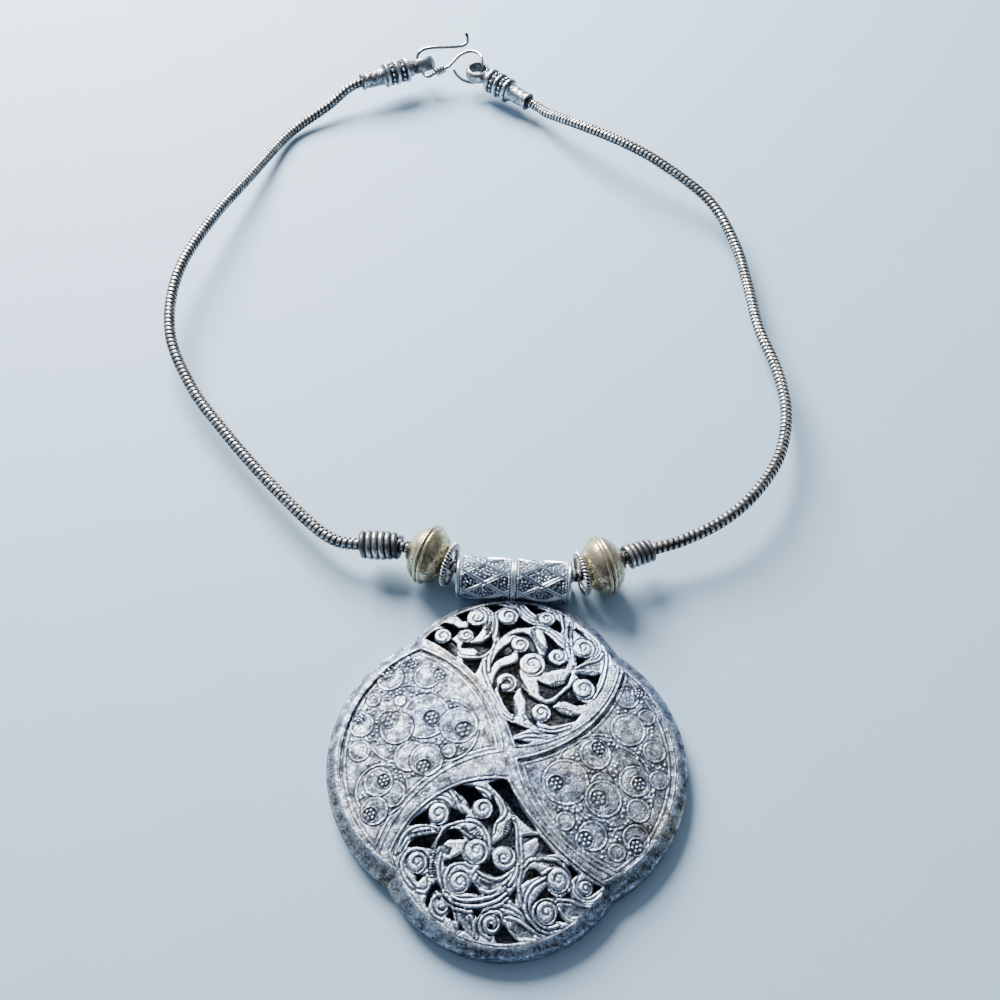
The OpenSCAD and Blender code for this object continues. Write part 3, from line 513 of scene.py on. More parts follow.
SCROLLS["bottom"] = {
    "box": (-21, -34.7, 21, -4.5),
    "openings": [
        [(-2.9, -6.3, -0.3), (2.6, -11.8, 0.1), (6.5, -14.6), (6.2, -13.7, -0.5), (0.5, -5),
         (0, -4.8, 0.1)],
        [(-10, -7.1), (-9, -8.2), (-8, -8.5, -0.3), (-6.1, -11.3), (-5.6, -9.7), (-3.5, -9.2, 0.1),
         (-5.8, -7, 0.2)],
        [(-17.4, -14.7, -0.15), (-13.4, -14.5), (-13.8, -11.7, 0.45)],
        [(-9.6, -11.2), (-9.8, -12.6), (-10.1, -14.1, -0.1), (-6.9, -13.2), (-6.8, -12.2),
         (-8.2, -11.9)],
        [(-17.2, -18.7, -0.3), (-12.8, -18.8), (-12.2, -16.8), (-11.6, -16, 0.2),
         (-16.2, -17.2, 0.1)],
        [(-11.7, -18.4), (-11, -18.2, -0.1), (-9.3, -16.9), (-6.8, -16.8), (-7.1, -16.2, 0.1),
         (-8.3, -15.1, 0.15), (-10.2, -15.4, 0.1)],
        [(-9.8, -21.8, -0.1), (-7.7, -20.9), (-6.5, -20.8), (-7.1, -19.5, -0.05), (-10.2, -21)],
        [(-3.4, -22.1), (-0.6, -23, 0.1), (1.1, -22.3, -0.5), (-1.4, -19.6), (-2.3, -20.8),
         (-3.4, -21.3)],
        [(1.9, -13.6, -0.1), (1.5, -15.2, -0.1), (-0.4, -16.8), (-1.4, -17.6), (-1.2, -18),
         (0.6, -17.6), (2.7, -18.2, 0.1), (2.3, -13.8)],
        [(-2, -8.5), (-3, -12), (-4.3, -13, -0.2), (-1.75, -16.3), (-1.6, -14.2, -0.1), (-0.5, -12),
         (-0.9, -10.5, -0.1)],
        [(4.3, -16.8), (5.2, -16.3), (6, -15.8), (6.9, -15.7, -0.1), (7.2, -17.6), (6.4, -18.9),
         (7.2, -18.9), (10, -18.2), (7.2, -15.4), (6.8, -15.1), (4.3, -15.5, 0.1)],
        [(4.5, -23.9), (5, -23.4), (7.7, -22.2), (7.1, -21.6, 0.2), (5.4, -21.4, 0.1)],
        [(12.5, -20.4), (13.1, -21), (13.4, -22.1, 0.1), (14.6, -21.4), (13, -20.1)],
        [(17.4, -22.8), (17.5, -23.6), (17, -24.7, 0.1), (18.8, -23.3)],
        [(6.6, -27.2, -0.2), (8.9, -25.9), (10.5, -25.7), (9.3, -24.9), (8.8, -24.2, 0.1)],
        [(12, -25.5), (13.4, -25.6), (13.1, -24.8), (12.7, -24.8)],
        [(10.9, -28.2), (10.3, -29.6), (12.4, -29.7), (11.5, -28.9)],
        [(3.3, -25, 0.05), (2.3, -26.3, 0.05), (3.3, -27.5)],
        [(-4.4, -24.4), (-5.6, -26), (-3, -26.3)],
        [(-11.2, -24.6, 0.1), (-12.6, -26.6), (-12.9, -28.3), (-12.5, -28.8), (-12.1, -28.2, -0.2),
         (-11.4, -26.1), (-10.1, -25.9)],
        [(-15, -23.4), (-14.9, -24.4), (-14.5, -24.6), (-13.5, -23.5)],
        [(-8, -29.2), (-8.9, -30.3), (-7.3, -30.9)],
        [(-6.2, -31.5), (-6.6, -32.4), (-5.6, -32.3)],
        [(-4.2, -28.9), (-3.3, -30.2), (-2.5, -28.8)],
        [(1.5, -31.1), (0.9, -32.1), (0, -32.8), (0.6, -34), (2.5, -34), (4.4, -33.6, -0.2)]],
    "eyes": [
        [(-1.3, -31.7), (-0.8, -32), (-0.2, -31.6), (-0.6, -31.1), (-1, -30.9)]],
    "curls": [
        (-12, -12.5, 2, -1), (-3.7, -11.1, 1.9, -1), (-15.1, -21.4, 1.9, -1),
        (-4.3, -18.9, 2.2, -1), (0.8, -19.7, 2.2, 1), (-6.9, -24.5, 1.8, -1), (11, -22.9, 2.1, -1),
        (9.1, -28.5, 1.95, -1), (16, -23.8, 1.25, -1), (-0.7, -31.1, 1.6, 1),
        (-9.9, -28.8, 1.2, 1)],
    "combs": [
        (-9, -8.6, -6.5, -11, 0.4, 8, -1.2), (0.3, -9, 1.9, -12, 0.3, 8, -1.1),
        (1.6, -12.6, 0.4, -16.2, 0.3, 8, -1.1), (-17.6, -16, -13, -15.2, 0.5, 9, 1.1),
        (-11.6, -18.4, -11.2, -24, 0.4, 12, 1.1), (-4.8, -14.4, -3.2, -16.6, 0.1, 6, 1.2),
        (-10.6, -18, -8.8, -18.8, 0.1, 5, 1.1), (6.8, -20, 11.6, -20.4, 0.3, 11, -0.9),
        (-7, -14.2, -2.7, -17, 0.6, 12, 1.0), (-3.9, -24.4, -2.6, -26, 0.1, 5, 0.8)],
    "strands": [
        [(-19.2, -20), (-18.2, -16.8), (-16, -14.9), (-13.5, -14.5), (-11.8, -15.2)],
        [(-18.6, -19.6), (-17.3, -17.2), (-15, -16.3), (-12.3, -15.9)],
        [(-12, -18.2), (-10.8, -15.2), (-8.2, -13.7), (-5.6, -13.4), (-3.4, -14.3), (-2.2, -16.2),
         (-2, -18.6), (-2.9, -20.7)],
        [(-11.6, -19.4), (-10.9, -17), (-9.8, -15.4), (-8.4, -14.9), (-7, -15.6), (-5.4, -16.4),
         (-3.8, -16.5)],
        [(-11.9, -18.6), (-12.5, -21), (-12.2, -23.8), (-10.9, -26.3), (-8.6, -28.4), (-5.8, -29.2),
         (-2.8, -29), (0.2, -28), (1.9, -26.6)],
        [(-10.9, -19.6), (-11.1, -22.4), (-10.3, -25.2), (-8.4, -27.5), (-5.6, -28.3),
         (-2.8, -28.2), (0, -27.2), (1.6, -25.9)],
        [(-5.2, -21.7), (-7, -20.9), (-8.9, -21.8), (-9.7, -24), (-9, -26.3), (-7, -27.4),
         (-4, -27.3), (-1, -26.5), (1.3, -24.9)],
        [(-3.6, -22.5), (-1.6, -23.4), (0.3, -23.4), (1.7, -22.5)],
        [(-4, -23), (-4.3, -24.2), (-3.4, -25.4), (-1.4, -25.8), (0.6, -25)],
        [(2.2, -12.6), (2.8, -15), (3, -17.6), (3.5, -20), (3.2, -22.4), (2.1, -24.4)],
        [(3.7, -16.2), (4, -19), (4.1, -21.8), (3.8, -24.4), (4.3, -27), (6, -29.6), (8, -31.4)],
        [(4.6, -21), (5.6, -19.8), (7.5, -19.4), (10, -19.4), (12, -20.4), (13.2, -22.3),
         (13, -24.2), (11.6, -25.4)],
        [(8, -22), (9.4, -21), (11, -20.7), (12.4, -21.7), (12.7, -23.2), (11.8, -24.7)],
        [(8.6, -22.6), (6.3, -24.2), (5.2, -26.5), (5.4, -28.8), (6.9, -30.8), (9.4, -31.7),
         (12.4, -31.3)],
        [(10.6, -26.6), (9, -26.1), (7.3, -26.9), (6.7, -28.6), (7.4, -30.3), (9.2, -31),
         (11.2, -30.5)],
        [(10.9, -26.2), (13, -26.1), (15.5, -26.7), (17.8, -26.4)],
        [(11.4, -27.8), (12.8, -29.3), (14.6, -29.7), (16.6, -28.7), (18.2, -26.9)],
        [(14.4, -21.4), (13.7, -23), (14, -25), (15.6, -26.1), (17.5, -25.9), (19, -24.5)],
        [(-3.2, -33.4), (-3.7, -31.4), (-3.1, -29.7), (-1.4, -28.4), (1, -27.8), (3.4, -28.4),
         (6, -29.9), (8.4, -31.6), (11, -32.2)],
        [(1.7, -31.4), (1.5, -30), (0.2, -29), (-1.5, -29.2), (-2.7, -30.7), (-2.4, -32.5),
         (-0.8, -33.4)],
        [(1.9, -29.8), (4, -30.2), (6.5, -31.5), (9, -32.4)],
        [(1.9, -29.9), (2.3, -31.6), (3.6, -32.9)],
        [(-7.8, -28.9), (-6, -29.1), (-4.7, -29.7), (-4, -31), (-3.7, -33.1)],
        [(-7.7, -29.2), (-7.3, -31), (-6.3, -32.5)],
        [(-8, -29.7), (-7.9, -28), (-9.2, -26.8), (-11.1, -27), (-12, -28.4), (-11.2, -30),
         (-9.5, -30.9)],
        [(-12.8, -20.4), (-13.9, -19.2), (-15.6, -18.9), (-17.3, -19.9), (-17.9, -22), (-17, -24.2),
         (-15.4, -25.8)],
        [(-12.9, -23.6), (-12.3, -25), (-13, -26.4), (-14.4, -26.3)],
        [(-15.8, -11), (-14.4, -9.9), (-12.2, -9.4), (-10.3, -10), (-9.3, -11.3)],
        [(-10.3, -8), (-8.8, -9.8), (-7.8, -11.8), (-6.9, -12.9)],
        [(-5.4, -7.3), (-3.4, -7.9), (-2.2, -9.3), (-1.9, -11), (-2.6, -12.4)],
        [(-1.8, -7.6), (-0.3, -9.4), (0.6, -11.2), (0, -12.6), (-1.2, -13.6), (-1.5, -15.4)],
        [(16.8, -29.6), (18.2, -28), (19.2, -26)]],
    "blades": [
        [(-7.3, -29.6), (-5.4, -29.8), (-4.4, -31), (-4.2, -33.4), (-6, -32.4), (-7, -30.8)],
        [(2.6, -30.4), (4.4, -30.8), (7, -32.2), (7.4, -33), (4.4, -33), (2.9, -31.8)],
        [(11.8, -26.9), (14.6, -27.1), (17.2, -27.2), (15.6, -28.7), (13.4, -29), (12, -28.1)],
        [(-3.6, -23.6), (-1.4, -24.2), (1.2, -23.6), (0.6, -24.5), (-1.4, -25.3), (-3.2, -24.9)]],
}


def cut_out(corners):
    """The points of an opening's outline."""
    loop = []
    for a, b in zip(corners, corners[1:] + corners[:1]):
        bow, steps = (a[2], 6) if len(a) > 2 else (0, 1)
        loop += [bowed(a, b, bow, k / steps) for k in range(steps)]
    return np.array(loop)


def path_distance(x, y, path):
    """Distance to an open line through the points of a path."""
    near = np.full(x.shape, 1e9)
    for (ax, ay), (bx, by) in zip(path, path[1:]):
        ex, ey = bx - ax, by - ay
        t = np.clip(((x - ax) * ex + (y - ay) * ey) / (ex * ex + ey * ey), 0, 1)
        near = np.minimum(near, np.hypot(x - ax - t * ex, y - ay - t * ey))
    return near


def outline_distance(x, y, loop):
    """Distance to a closed outline, negative inside."""
    ring = np.vstack([loop, loop[:1]])
    odd = np.zeros(x.shape, dtype=bool)
    for (ax, ay), (bx, by) in zip(ring, ring[1:]):
        if ay != by:
            odd ^= ((ay > y) != (by > y)) & (x < ax + (y - ay) * (bx - ax) / (by - ay))
    near = path_distance(x, y, ring)
    return np.where(odd, -near, near)


def beside(x, y, points, room):
    """Where the grid lies within a little room round some points."""
    low, high = points.min(0) - room, points.max(0) + room
    return (x > low[0]) & (x < high[0]) & (y > low[1]) & (y < high[1])


def pierced(x, y, scroll):
    """Distance to the nearest opening's edge, negative inside an opening."""
    solid = np.min([circle(x, y, c) for c in scroll["curls"]], axis=0)
    result = np.full(x.shape, 5.0)
    for kind in ("openings", "eyes"):
        for corners in scroll[kind]:
            loop = cut_out(corners)
            here = beside(x, y, loop, 2.2)
            d = outline_distance(x[here], y[here], loop)
            if kind == "openings":
                d = np.maximum(d, -solid[here])
            result[here] = np.minimum(result[here], d)
    return result


def scroll_height(x, y, name, scroll):
    gap = np.maximum(pierced(x, y, scroll), 0)
    edge = np.minimum(gap, -field_edge(x, y, name) + 0.3)
    rounded = 1 - np.clip(edge / 0.6, 0, 1)
    relief = 0.46 * np.sqrt(1 - rounded ** 2) - 0.28
    for corners in scroll["blades"]:
        d = outline_distance(x, y, cut_out([(a, b, 0.1) for a, b in corners]))
        relief -= 0.24 * np.clip(0.5 - d / 0.4, 0, 1)
    for corners in scroll["strands"]:
        path, _ = route(corners, 0.4)
        near = beside(x, y, path, 1)
        d = path_distance(x[near], y[near], path)
        relief[near] += 0.12 * line(d, 0.2) - 0.20 * line(d - 0.45, 0.13)
    for ax, ay, bx, by, bow, teeth, length in scroll["combs"]:
        size = math.hypot(bx - ax, by - ay)
        nx, ny = (by - ay) / size * length, -(bx - ax) / size * length
        for k in range(teeth):
            px, py = bowed((ax, ay), (bx, by), bow, (k + 0.5) / teeth)
            near = (abs(x - px) < 1.6) & (abs(y - py) < 1.6)
            u = np.clip(((x[near] - px) * nx + (y[near] - py) * ny) / length ** 2, 0, 1)
            d = np.hypot(x[near] - px - u * nx, y[near] - py - u * ny)
            relief[near] -= 0.36 * line(d, 0.15)
    for cx, cy, r, turn in scroll["curls"]:
        q = np.hypot(x - cx, y - cy)
        near = q < r + 0.5
        angle = np.arctan2(y[near] - cy, x[near] - cx) / (2 * math.pi)
        q = q[near]
        pitch = r / CURL_TURNS
        swirl = (q / pitch - turn * angle) % 1
        roll = 0.16 + 0.30 * np.sqrt(np.clip(1 - (q / (r + 0.15)) ** 2, 0, 1))
        roll -= 0.34 * line(np.minimum(swirl, 1 - swirl) * pitch, 0.18) * (q > 0.42 * pitch)
        roll += 0.08 * line(q, 0.3) - 0.16 * line(q - 0.48, 0.13)
        blend = np.clip((r + 0.05 - q) / 0.2, 0, 1)
        lowered = relief[near] - 0.22 * line(q - r - 0.18, 0.14)
        relief[near] = lowered * (1 - blend) + roll * blend
    return dome(x, y, BAND_RISE) + relief


for name, scroll in SCROLLS.items():
    points, faces, dark, _ = sheet(
        lambda x, y: np.maximum(field_edge(x, y, name) - 0.05, -pierced(x, y, scroll)),
        lambda x, y: scroll_height(x, y, name, scroll), scroll["box"], sunken)
    on_medallion("scrollwork_" + name, points, faces, dark)


# The chased fields at the left and right: plain discs lapped like scales and ringed with a
# groove, cups of small grains punched into them, and grains of silver where discs meet.
CHASED = {
    "left": {
        "box": (-33, -21, -1, 24), "seed": 7,
        # x, y, radius; a later disc lies over an earlier one
        "discs": [
            (-24.8, 15.3, 2.9), (-17.2, 15.9, 2.9), (-22.4, 19.5, 1.5), (-16.6, 7, 4.9),
            (-9.8, 5.3, 3.9), (-22, 4.2, 3.5), (-22.1, 10.2, 1.3), (-18.8, -1.5, 3.2),
            (-15.4, -2.1, 3.4), (-29.2, 4.8, 2.6), (-28.8, -0.6, 2.3), (-21.2, -9, 2.7),
            (-24.2, -6.8, 3.0), (-24.3, -12.3, 2.8), (-11.2, -0.2, 1.5), (-27.6, 10.4, 1.6)],
        "hoops": [(-20.3, 5.5, 8.3), (-12.4, 4.2, 6.5), (-23.4, -8.2, 5.0)],
        "cups": [
            (-14.7, 16.3, 1.4), (-20.6, 18.8, 1.3), (-25.6, 16.5, 1.5), (-15.3, 6.6, 1.6),
            (-24, 6.1, 1.8), (-8.7, 4.3, 1.7), (-15.8, -3.5, 1.4), (-23.2, -6.5, 1.3),
            (-25.1, -13, 1.3), (-30, 6.4, 1.1)],
    },
    "right": {
        "box": (0, -21, 33, 24), "seed": 8,
        "discs": [
            (23.4, 14.2, 2.5), (27.4, 10.4, 1.9), (23.6, 7.2, 3.6), (28.8, 3.3, 2.4),
            (17.2, 1.3, 3.2), (11.6, -4.8, 4.6), (18.6, -4.4, 2.3), (24.9, -3.2, 3.2),
            (29.6, -2.4, 2.0), (18.9, -7.3, 3.7), (25.6, -8.8, 2.4), (11.8, -12.2, 1.9),
            (17, -14.4, 2.9), (21.6, -17, 1.8), (25.2, -14, 2.7)],
        "hoops": [(18.6, -3.8, 9.3), (20.4, -4.6, 8.2)],
        "cups": [
            (17.8, 2.6, 1.4), (9.8, -5.2, 1.5), (18, -7.3, 1.6), (25.8, -3.7, 1.4),
            (15.6, -15.2, 1.5), (25.3, -15.5, 1.4), (25.8, 15.6, 1.2)],
    },
}
GRAIN_R, GRAIN_APART = 0.33, 0.66
for name, chased in CHASED.items():
    dice = np.random.default_rng(chased["seed"])
    grains = []
    for cx, cy, r in chased["cups"]:
        grains += [(cx, cy)] + [(cx + 0.6 * r * math.cos(a), cy + 0.6 * r * math.sin(a))
                                for a in np.arange(6) * math.pi / 3 + 0.3]
    for px, py in dice.uniform((-32, -21), (33, 21), (14000, 2)):
        nearest, second = np.sort([circle(px, py, c) for c in chased["discs"]])[:2]
        cup = min(circle(px, py, c) for c in chased["cups"])
        inner = -field_edge(np.array([px]), np.array([py]), name)[0]
        if nearest > 0.36 and second < 1.5 and cup > 0.4 and inner > 1.5:
            if min((px - a) ** 2 + (py - b) ** 2 for a, b in grains) > GRAIN_APART ** 2:
                grains.append((px, py))

    def chased_height(x, y):
        inner = -field_edge(x, y, name)
        relief = np.full(x.shape, -0.04)
        for hoop in chased["hoops"]:
            d = circle(x, y, hoop)
            relief += 0.09 * line(d, 0.15) - 0.09 * line(abs(d) - 0.34, 0.12)
        for cx, cy, r in chased["discs"]:
            d = circle(x, y, (cx, cy, r))
            plate = 0.02 + 0.05 * np.clip(1 - ((d + r) / r) ** 2, 0, 1)
            plate += 0.09 * line(d + 0.28, 0.12) - 0.16 * line(d, 0.12)
            plate -= 0.05 * line(d + 0.75, 0.12)
            relief = np.where(d < 0.05, plate, relief - 0.08 * line(d, 0.12))
        for cx, cy, r in chased["cups"]:
            d = circle(x, y, (cx, cy, r))
            relief = np.where(d < 0.1, np.minimum(relief, -0.12 - 0.06 * line(d + 0.2, 0.2)),
                              relief)
            relief += 0.12 * line(d - 0.14, 0.12) - 0.08 * line(d - 0.4, 0.11)
        relief -= 0.13 * line(inner - 0.4, 0.12) + 0.11 * line(inner - 1.15, 0.12)
        relief += np.where(inner < 1.1, 0.04, 0)
        for px, py in grains:
            near = (abs(x - px) < 0.4) & (abs(y - py) < 0.4)
            q = ((x[near] - px) ** 2 + (y[near] - py) ** 2) / GRAIN_R ** 2
            relief[near] = np.maximum(relief[near], 0.34 * np.sqrt(np.clip(1 - q, 0, 1)) - 0.12)
        return dome(x, y, BAND_RISE) + relief

    points, faces, dark, _ = sheet(
        lambda x, y: field_edge(x, y, name) - 0.05, chased_height, chased["box"], hollows)
    on_medallion("chasing_" + name, points, faces, dark)


# The bail: a tube of silver sheet soldered to the top of the rim, with a plain wire round
# each end and two round its middle. Double wires cross in a lattice round each half, and
# grains of silver fill its lozenges.
TUBE_AT, TUBE_L, TUBE_R, BORE_R = (-1.1, 40.6, 4.7), 24.8, 4.3, 3.7
PANEL_AT, PANEL_HALF, LOZENGE_LONG, LOZENGE_TURN, LOZENGES_A_MM = 6.15, 5.3, 4.2, 30, 0.504
END_WIRE_R, MIDDLE_WIRE_R, MIDDLE_WIRE_AT = 0.45, 0.3, 0.32
tube_silver = metal("tube silver", bump=0.4, Grain_Amount=0.8, Bloom_Amount=0.8, Mottle=0.1,
                    Body=(0.36, 0.45, 0.60, 1), Bloom=(0.27, 0.35, 0.58, 1),
                    Stain=(0.33, 0.39, 0.50, 1), Worn=(0.84, 0.92, 1.0, 1))


def round_x(along, radius, angle):
    """Points at an angle and a radius round the X axis."""
    return np.stack([along, radius * np.cos(angle), radius * np.sin(angle)], -1)


def skin(rows, steps, closed=False):
    """Faces between rows of points that each go once round."""
    return [[i * steps + k, i * steps + (k + 1) % steps,
             (i + 1) % rows * steps + (k + 1) % steps, (i + 1) % rows * steps + k]
            for i in range(rows if closed else rows - 1) for k in range(steps)]


def turned(profile, steps, closed=True):
    """A shape turned round the X axis from (along, radius) points, and each point's row."""
    row = np.repeat(np.arange(len(profile)), steps)
    a = np.tile(np.arange(steps) * 2 * math.pi / steps, len(profile))
    return (round_x(*np.array(profile, dtype=float)[row].T, a),
            skin(len(profile), steps, closed), row)


def laid(points, at, turn, pitch=0.0):
    """Points made along X, pitched up, turned about Z and moved to their place."""
    x, z = spun(points[:, 0], points[:, 2], pitch)
    x, y = spun(x, points[:, 1], turn)
    return np.stack([x, y, z], -1) + at


def lattice(u, around):
    """Distance in mm to the crossed lines on the tube, at a place along and an angle round."""
    a = (around + math.radians(LOZENGE_TURN / 2)) / math.radians(LOZENGE_TURN)
    v = (np.abs(u) - PANEL_AT) / LOZENGE_LONG
    return np.minimum(np.abs((a + v) % 2 - 1), np.abs((a - v) % 2 - 1)) / LOZENGES_A_MM


half = TUBE_L / 2
profile = [(-half, BORE_R), (half, BORE_R)]
wires = [(half - END_WIRE_R, END_WIRE_R), (MIDDLE_WIRE_AT, MIDDLE_WIRE_R),
         (-MIDDLE_WIRE_AT, MIDDLE_WIRE_R), (-half + END_WIRE_R, END_WIRE_R)]
for u in np.linspace(half, -half, 248):
    wire = max(0.5 * math.sqrt(max(0, 1 - ((u - at) / r) ** 2)) for at, r in wires)
    profile.append((u, TUBE_R - 0.12 + wire * 0.94))
points, faces, row = turned(profile, 250)
u, around = points[:, 0], np.arctan2(points[:, 1], points[:, 2])
radius = np.hypot(points[:, 1], points[:, 2])
outer = row > 1
panel = outer & (np.abs(np.abs(u) - PANEL_AT) < PANEL_HALF)
radius = np.where(panel, radius + 0.40 * line(lattice(u, around) - 0.26, 0.15), radius)
points[:, 1], points[:, 2] = radius * np.sin(around), radius * np.cos(around)
dark = np.where(outer, np.clip(0.85 - (radius - TUBE_R + 0.12) * 3.0, 0.05, 1), 1.0)
centre = on_table(*TUBE_AT)
finished("bail_tube", laid(points, centre, MEDALLION_TURN), faces, dark, tube_silver,
         "medallion")


# Grains: balls of silver melted from snippets of wire and soldered on, here strewn between
# the tube's wires and set in rows along its rings. One node tree sets all the grains.
GRAINS_OUT, GRAINS_ROUND, GRAIN_ROWS = 4.18, 46, (-11.25, -0.95, 0.95, 11.25)
STREWN_FROM, STREWN_TO, STREWN_APART, OFF_WIRES = 1.4, 10.8, 0.60, 0.62


def growing_tree(name, sizes, growth):
    """A node tree with named sizes that grows pieces and makes them real, smooth and metal."""
    tree = bpy.data.node_groups.new(name, "GeometryNodeTree")
    face = tree.interface
    face.new_socket(name="Geometry", in_out="INPUT", socket_type="NodeSocketGeometry")
    for label, kind, value in sizes:
        socket = face.new_socket(name=label, in_out="INPUT", socket_type=kind)
        socket.default_value = value
    face.new_socket(name="Material", in_out="INPUT", socket_type="NodeSocketMaterial")
    face.new_socket(name="Geometry", in_out="OUTPUT", socket_type="NodeSocketGeometry")
    given = tree.nodes.new("NodeGroupInput")
    last = growth(tree.nodes, given)
    for kind in ("GeometryNodeRealizeInstances", "GeometryNodeSetShadeSmooth",
                 "GeometryNodeSetMaterial"):
        step = fed(tree.nodes.new(kind), {"Geometry": last})
        last = step.outputs["Geometry"]
    fed(step, {"Material": given.outputs["Material"]})
    fed(tree.nodes.new("NodeGroupOutput"), {"Geometry": last})
    return tree


def balls_on_points(nodes, given):
    ball = fed(nodes.new("GeometryNodeMeshIcoSphere"), {
        "Subdivisions": 2, "Radius": given.outputs["Radius"]})
    smallest = nodes.new("ShaderNodeMath")
    smallest.operation = "SUBTRACT"
    fed(smallest, {0: 1.0, 1: given.outputs["Variation"]})
    sizes = nodes.new("FunctionNodeRandomValue")
    sizes.data_type = "FLOAT"
    fed(sizes, {2: smallest.outputs[0], 3: 1.0, "Seed": 5})
    copies = fed(nodes.new("GeometryNodeInstanceOnPoints"), {
        "Points": given.outputs["Geometry"], "Instance": ball.outputs["Mesh"],
        "Scale": sizes.outputs[1]})
    return copies.outputs["Instances"]


def grown(name, tree, points, edges, node, slot, cavity, **values):
    """A piece that a node tree grows from points or paths in millimetres, made a plain mesh."""
    seed = bpy.data.meshes.new(name + "_seed")
    seed.from_pydata((np.asarray(points) * 0.001).tolist(), edges, [])
    carrier = set_down(name + "_seed", seed)
    grow = carrier.modifiers.new("grow", "NODES")
    grow.node_group = tree
    for item in tree.interface.items_tree:
        label = item.name.replace(" ", "_")
        if item.in_out == "INPUT" and label in values:
            grow[item.identifier] = values[label]
    bpy.context.view_layer.update()
    whole = carrier.evaluated_get(bpy.context.evaluated_depsgraph_get())
    mesh = bpy.data.meshes.new_from_object(whole)
    bpy.data.objects.remove(carrier)
    places = np.empty(len(mesh.vertices) * 3, dtype=np.float32)
    mesh.vertices.foreach_get("co", places)
    placed(name, mesh, cavity(places.reshape(-1, 3) * 1000), node)


def on_tube(u, a):
    return u, GRAINS_OUT * math.sin(a), GRAINS_OUT * math.cos(a)


def between_grains(p):
    flat = p - centre
    out = np.hypot(flat @ np.array([*spun(0, 1, MEDALLION_TURN), 0]), p[:, 2] - centre[2])
    return np.clip(0.9 - (out - GRAINS_OUT) * 3.8, 0, 1)


grain_tree = growing_tree("grains", [("Radius", "NodeSocketFloat", 0.0004),
                                     ("Variation", "NodeSocketFloat", 0.1)], balls_on_points)
dice = np.random.default_rng(21)
spots = np.array([on_tube(u, k * 2 * math.pi / GRAINS_ROUND)
                  for u in GRAIN_ROWS for k in range(GRAINS_ROUND)])
for u, a in zip(dice.uniform(-STREWN_TO, STREWN_TO, 12000),
                dice.uniform(-math.pi, math.pi, 12000)):
    if abs(u) > STREWN_FROM and lattice(u, a) > OFF_WIRES:
        if ((spots - on_tube(u, a)) ** 2).sum(1).min() > STREWN_APART ** 2:
            spots = np.vstack([spots, on_tube(u, a)])
grown("tube_grains", grain_tree, laid(spots, centre, MEDALLION_TURN), [], "medallion",
      "antique_silver", between_grains, Radius=0.00029, Variation=0.25, Material=tube_silver)


# The chain: a round snake chain of curved plates locked into each other in four rows, stiff
# enough to stand in easy curves. It runs through the tube, and its ends are glued in the caps.
CHAIN_R, PLATE, CHAIN_SIDES = 1.44, 1.28, 28
LEFT_ROUTE = [
    (-30.6, 116.5, 7.5), (-34.7, 114.5, 7.5), (-38.8, 112.4, 6.6), (-45, 107.3, 4),
    (-56, 96, 2.1), (-64, 73, 5), (-71.3, 49.5, 8.4), (-76.2, 28, 9.4), (-75.2, 8.5, 8),
    (-67.6, -8, 6.2), (-57, -22.4, 5.5), (-45.8, -35.8, 5.5), (-34.6, -47.8, 5.7),
    (-28.5, -52.6, 5.9), (-23.3, -53.8, 6.2), (-18.3, -54.2, 6.4), (-13.3, -54.6, 6.6),
    (-7.6, -56.9, 6.7), (-3.6, -58.7, 6.3), (-1, -59.9, 6.2), (5.5, -61.85, 6.2),
    (11, -62.1, 6.2)]
RIGHT_ROUTE = [
    (11, -62.1, 6.2), (16.5, -62.35, 6.2), (22.6, -62.2, 6.3), (25.9, -61.4, 6.3),
    (30.1, -59.8, 6.7), (34.8, -57.9, 6.75), (38.2, -56.6, 6.7), (41.5, -55.4, 6.7),
    (48.5, -53.2, 7.1), (57, -49, 8.1), (65, -42, 8.6), (72.3, -31, 8), (76.2, -17.5, 7.2),
    (76.4, -3.5, 6.3), (74.1, 12.3, 5.4), (73.5, 28.5, 4.8), (72, 44.5, 5), (66.5, 60, 6.7),
    (54, 71.5, 10.1), (43.5, 80, 11), (32, 90.5, 9.2), (22.5, 100.8, 6), (19.8, 104.9, 5.2),
    (16.6, 107.8, 5.1), (13.4, 110.5, 5.35)]
# what moves the routes to the middle of the whole necklace
HOME = np.array([-0.06, 4.97, 0])
chain_silver = metal("snake chain", bump=0.2, Grain_Amount=0.7, Bloom_Amount=0.5,
                     Body=(0.30, 0.31, 0.32, 1), Bloom=(0.24, 0.24, 0.26, 1),
                     Stain=(0.27, 0.25, 0.22, 1), Worn=(0.88, 0.89, 0.90, 1),
                     Deep=(0.005, 0.005, 0.006, 1))


def framed(path):
    """Two directions square to the path at each point, carried along without a twist."""
    ahead = np.gradient(path, axis=0)
    ahead /= np.linalg.norm(ahead, axis=1, keepdims=True)
    up = np.zeros_like(path)
    last = np.array([0.0, 0.0, 1.0])
    for i, t in enumerate(ahead):
        last = last - t * (last @ t)
        last /= np.linalg.norm(last)
        up[i] = last
    return up, np.cross(ahead, up)


def swept(path, radius, steps):
    """A closed skin round a path, with a radius for each point and side."""
    up, side = framed(path)
    a = np.arange(steps) * 2 * math.pi / steps
    r = np.broadcast_to(radius, (len(path), steps))[..., None]
    points = path[:, None] + r * (np.cos(a)[:, None] * up[:, None]
                                  + np.sin(a)[:, None] * side[:, None])
    last = (len(path) - 1) * steps
    ends = [list(range(steps))[::-1], list(range(last, last + steps))]
    return points.reshape(-1, 3), skin(len(path), steps) + ends


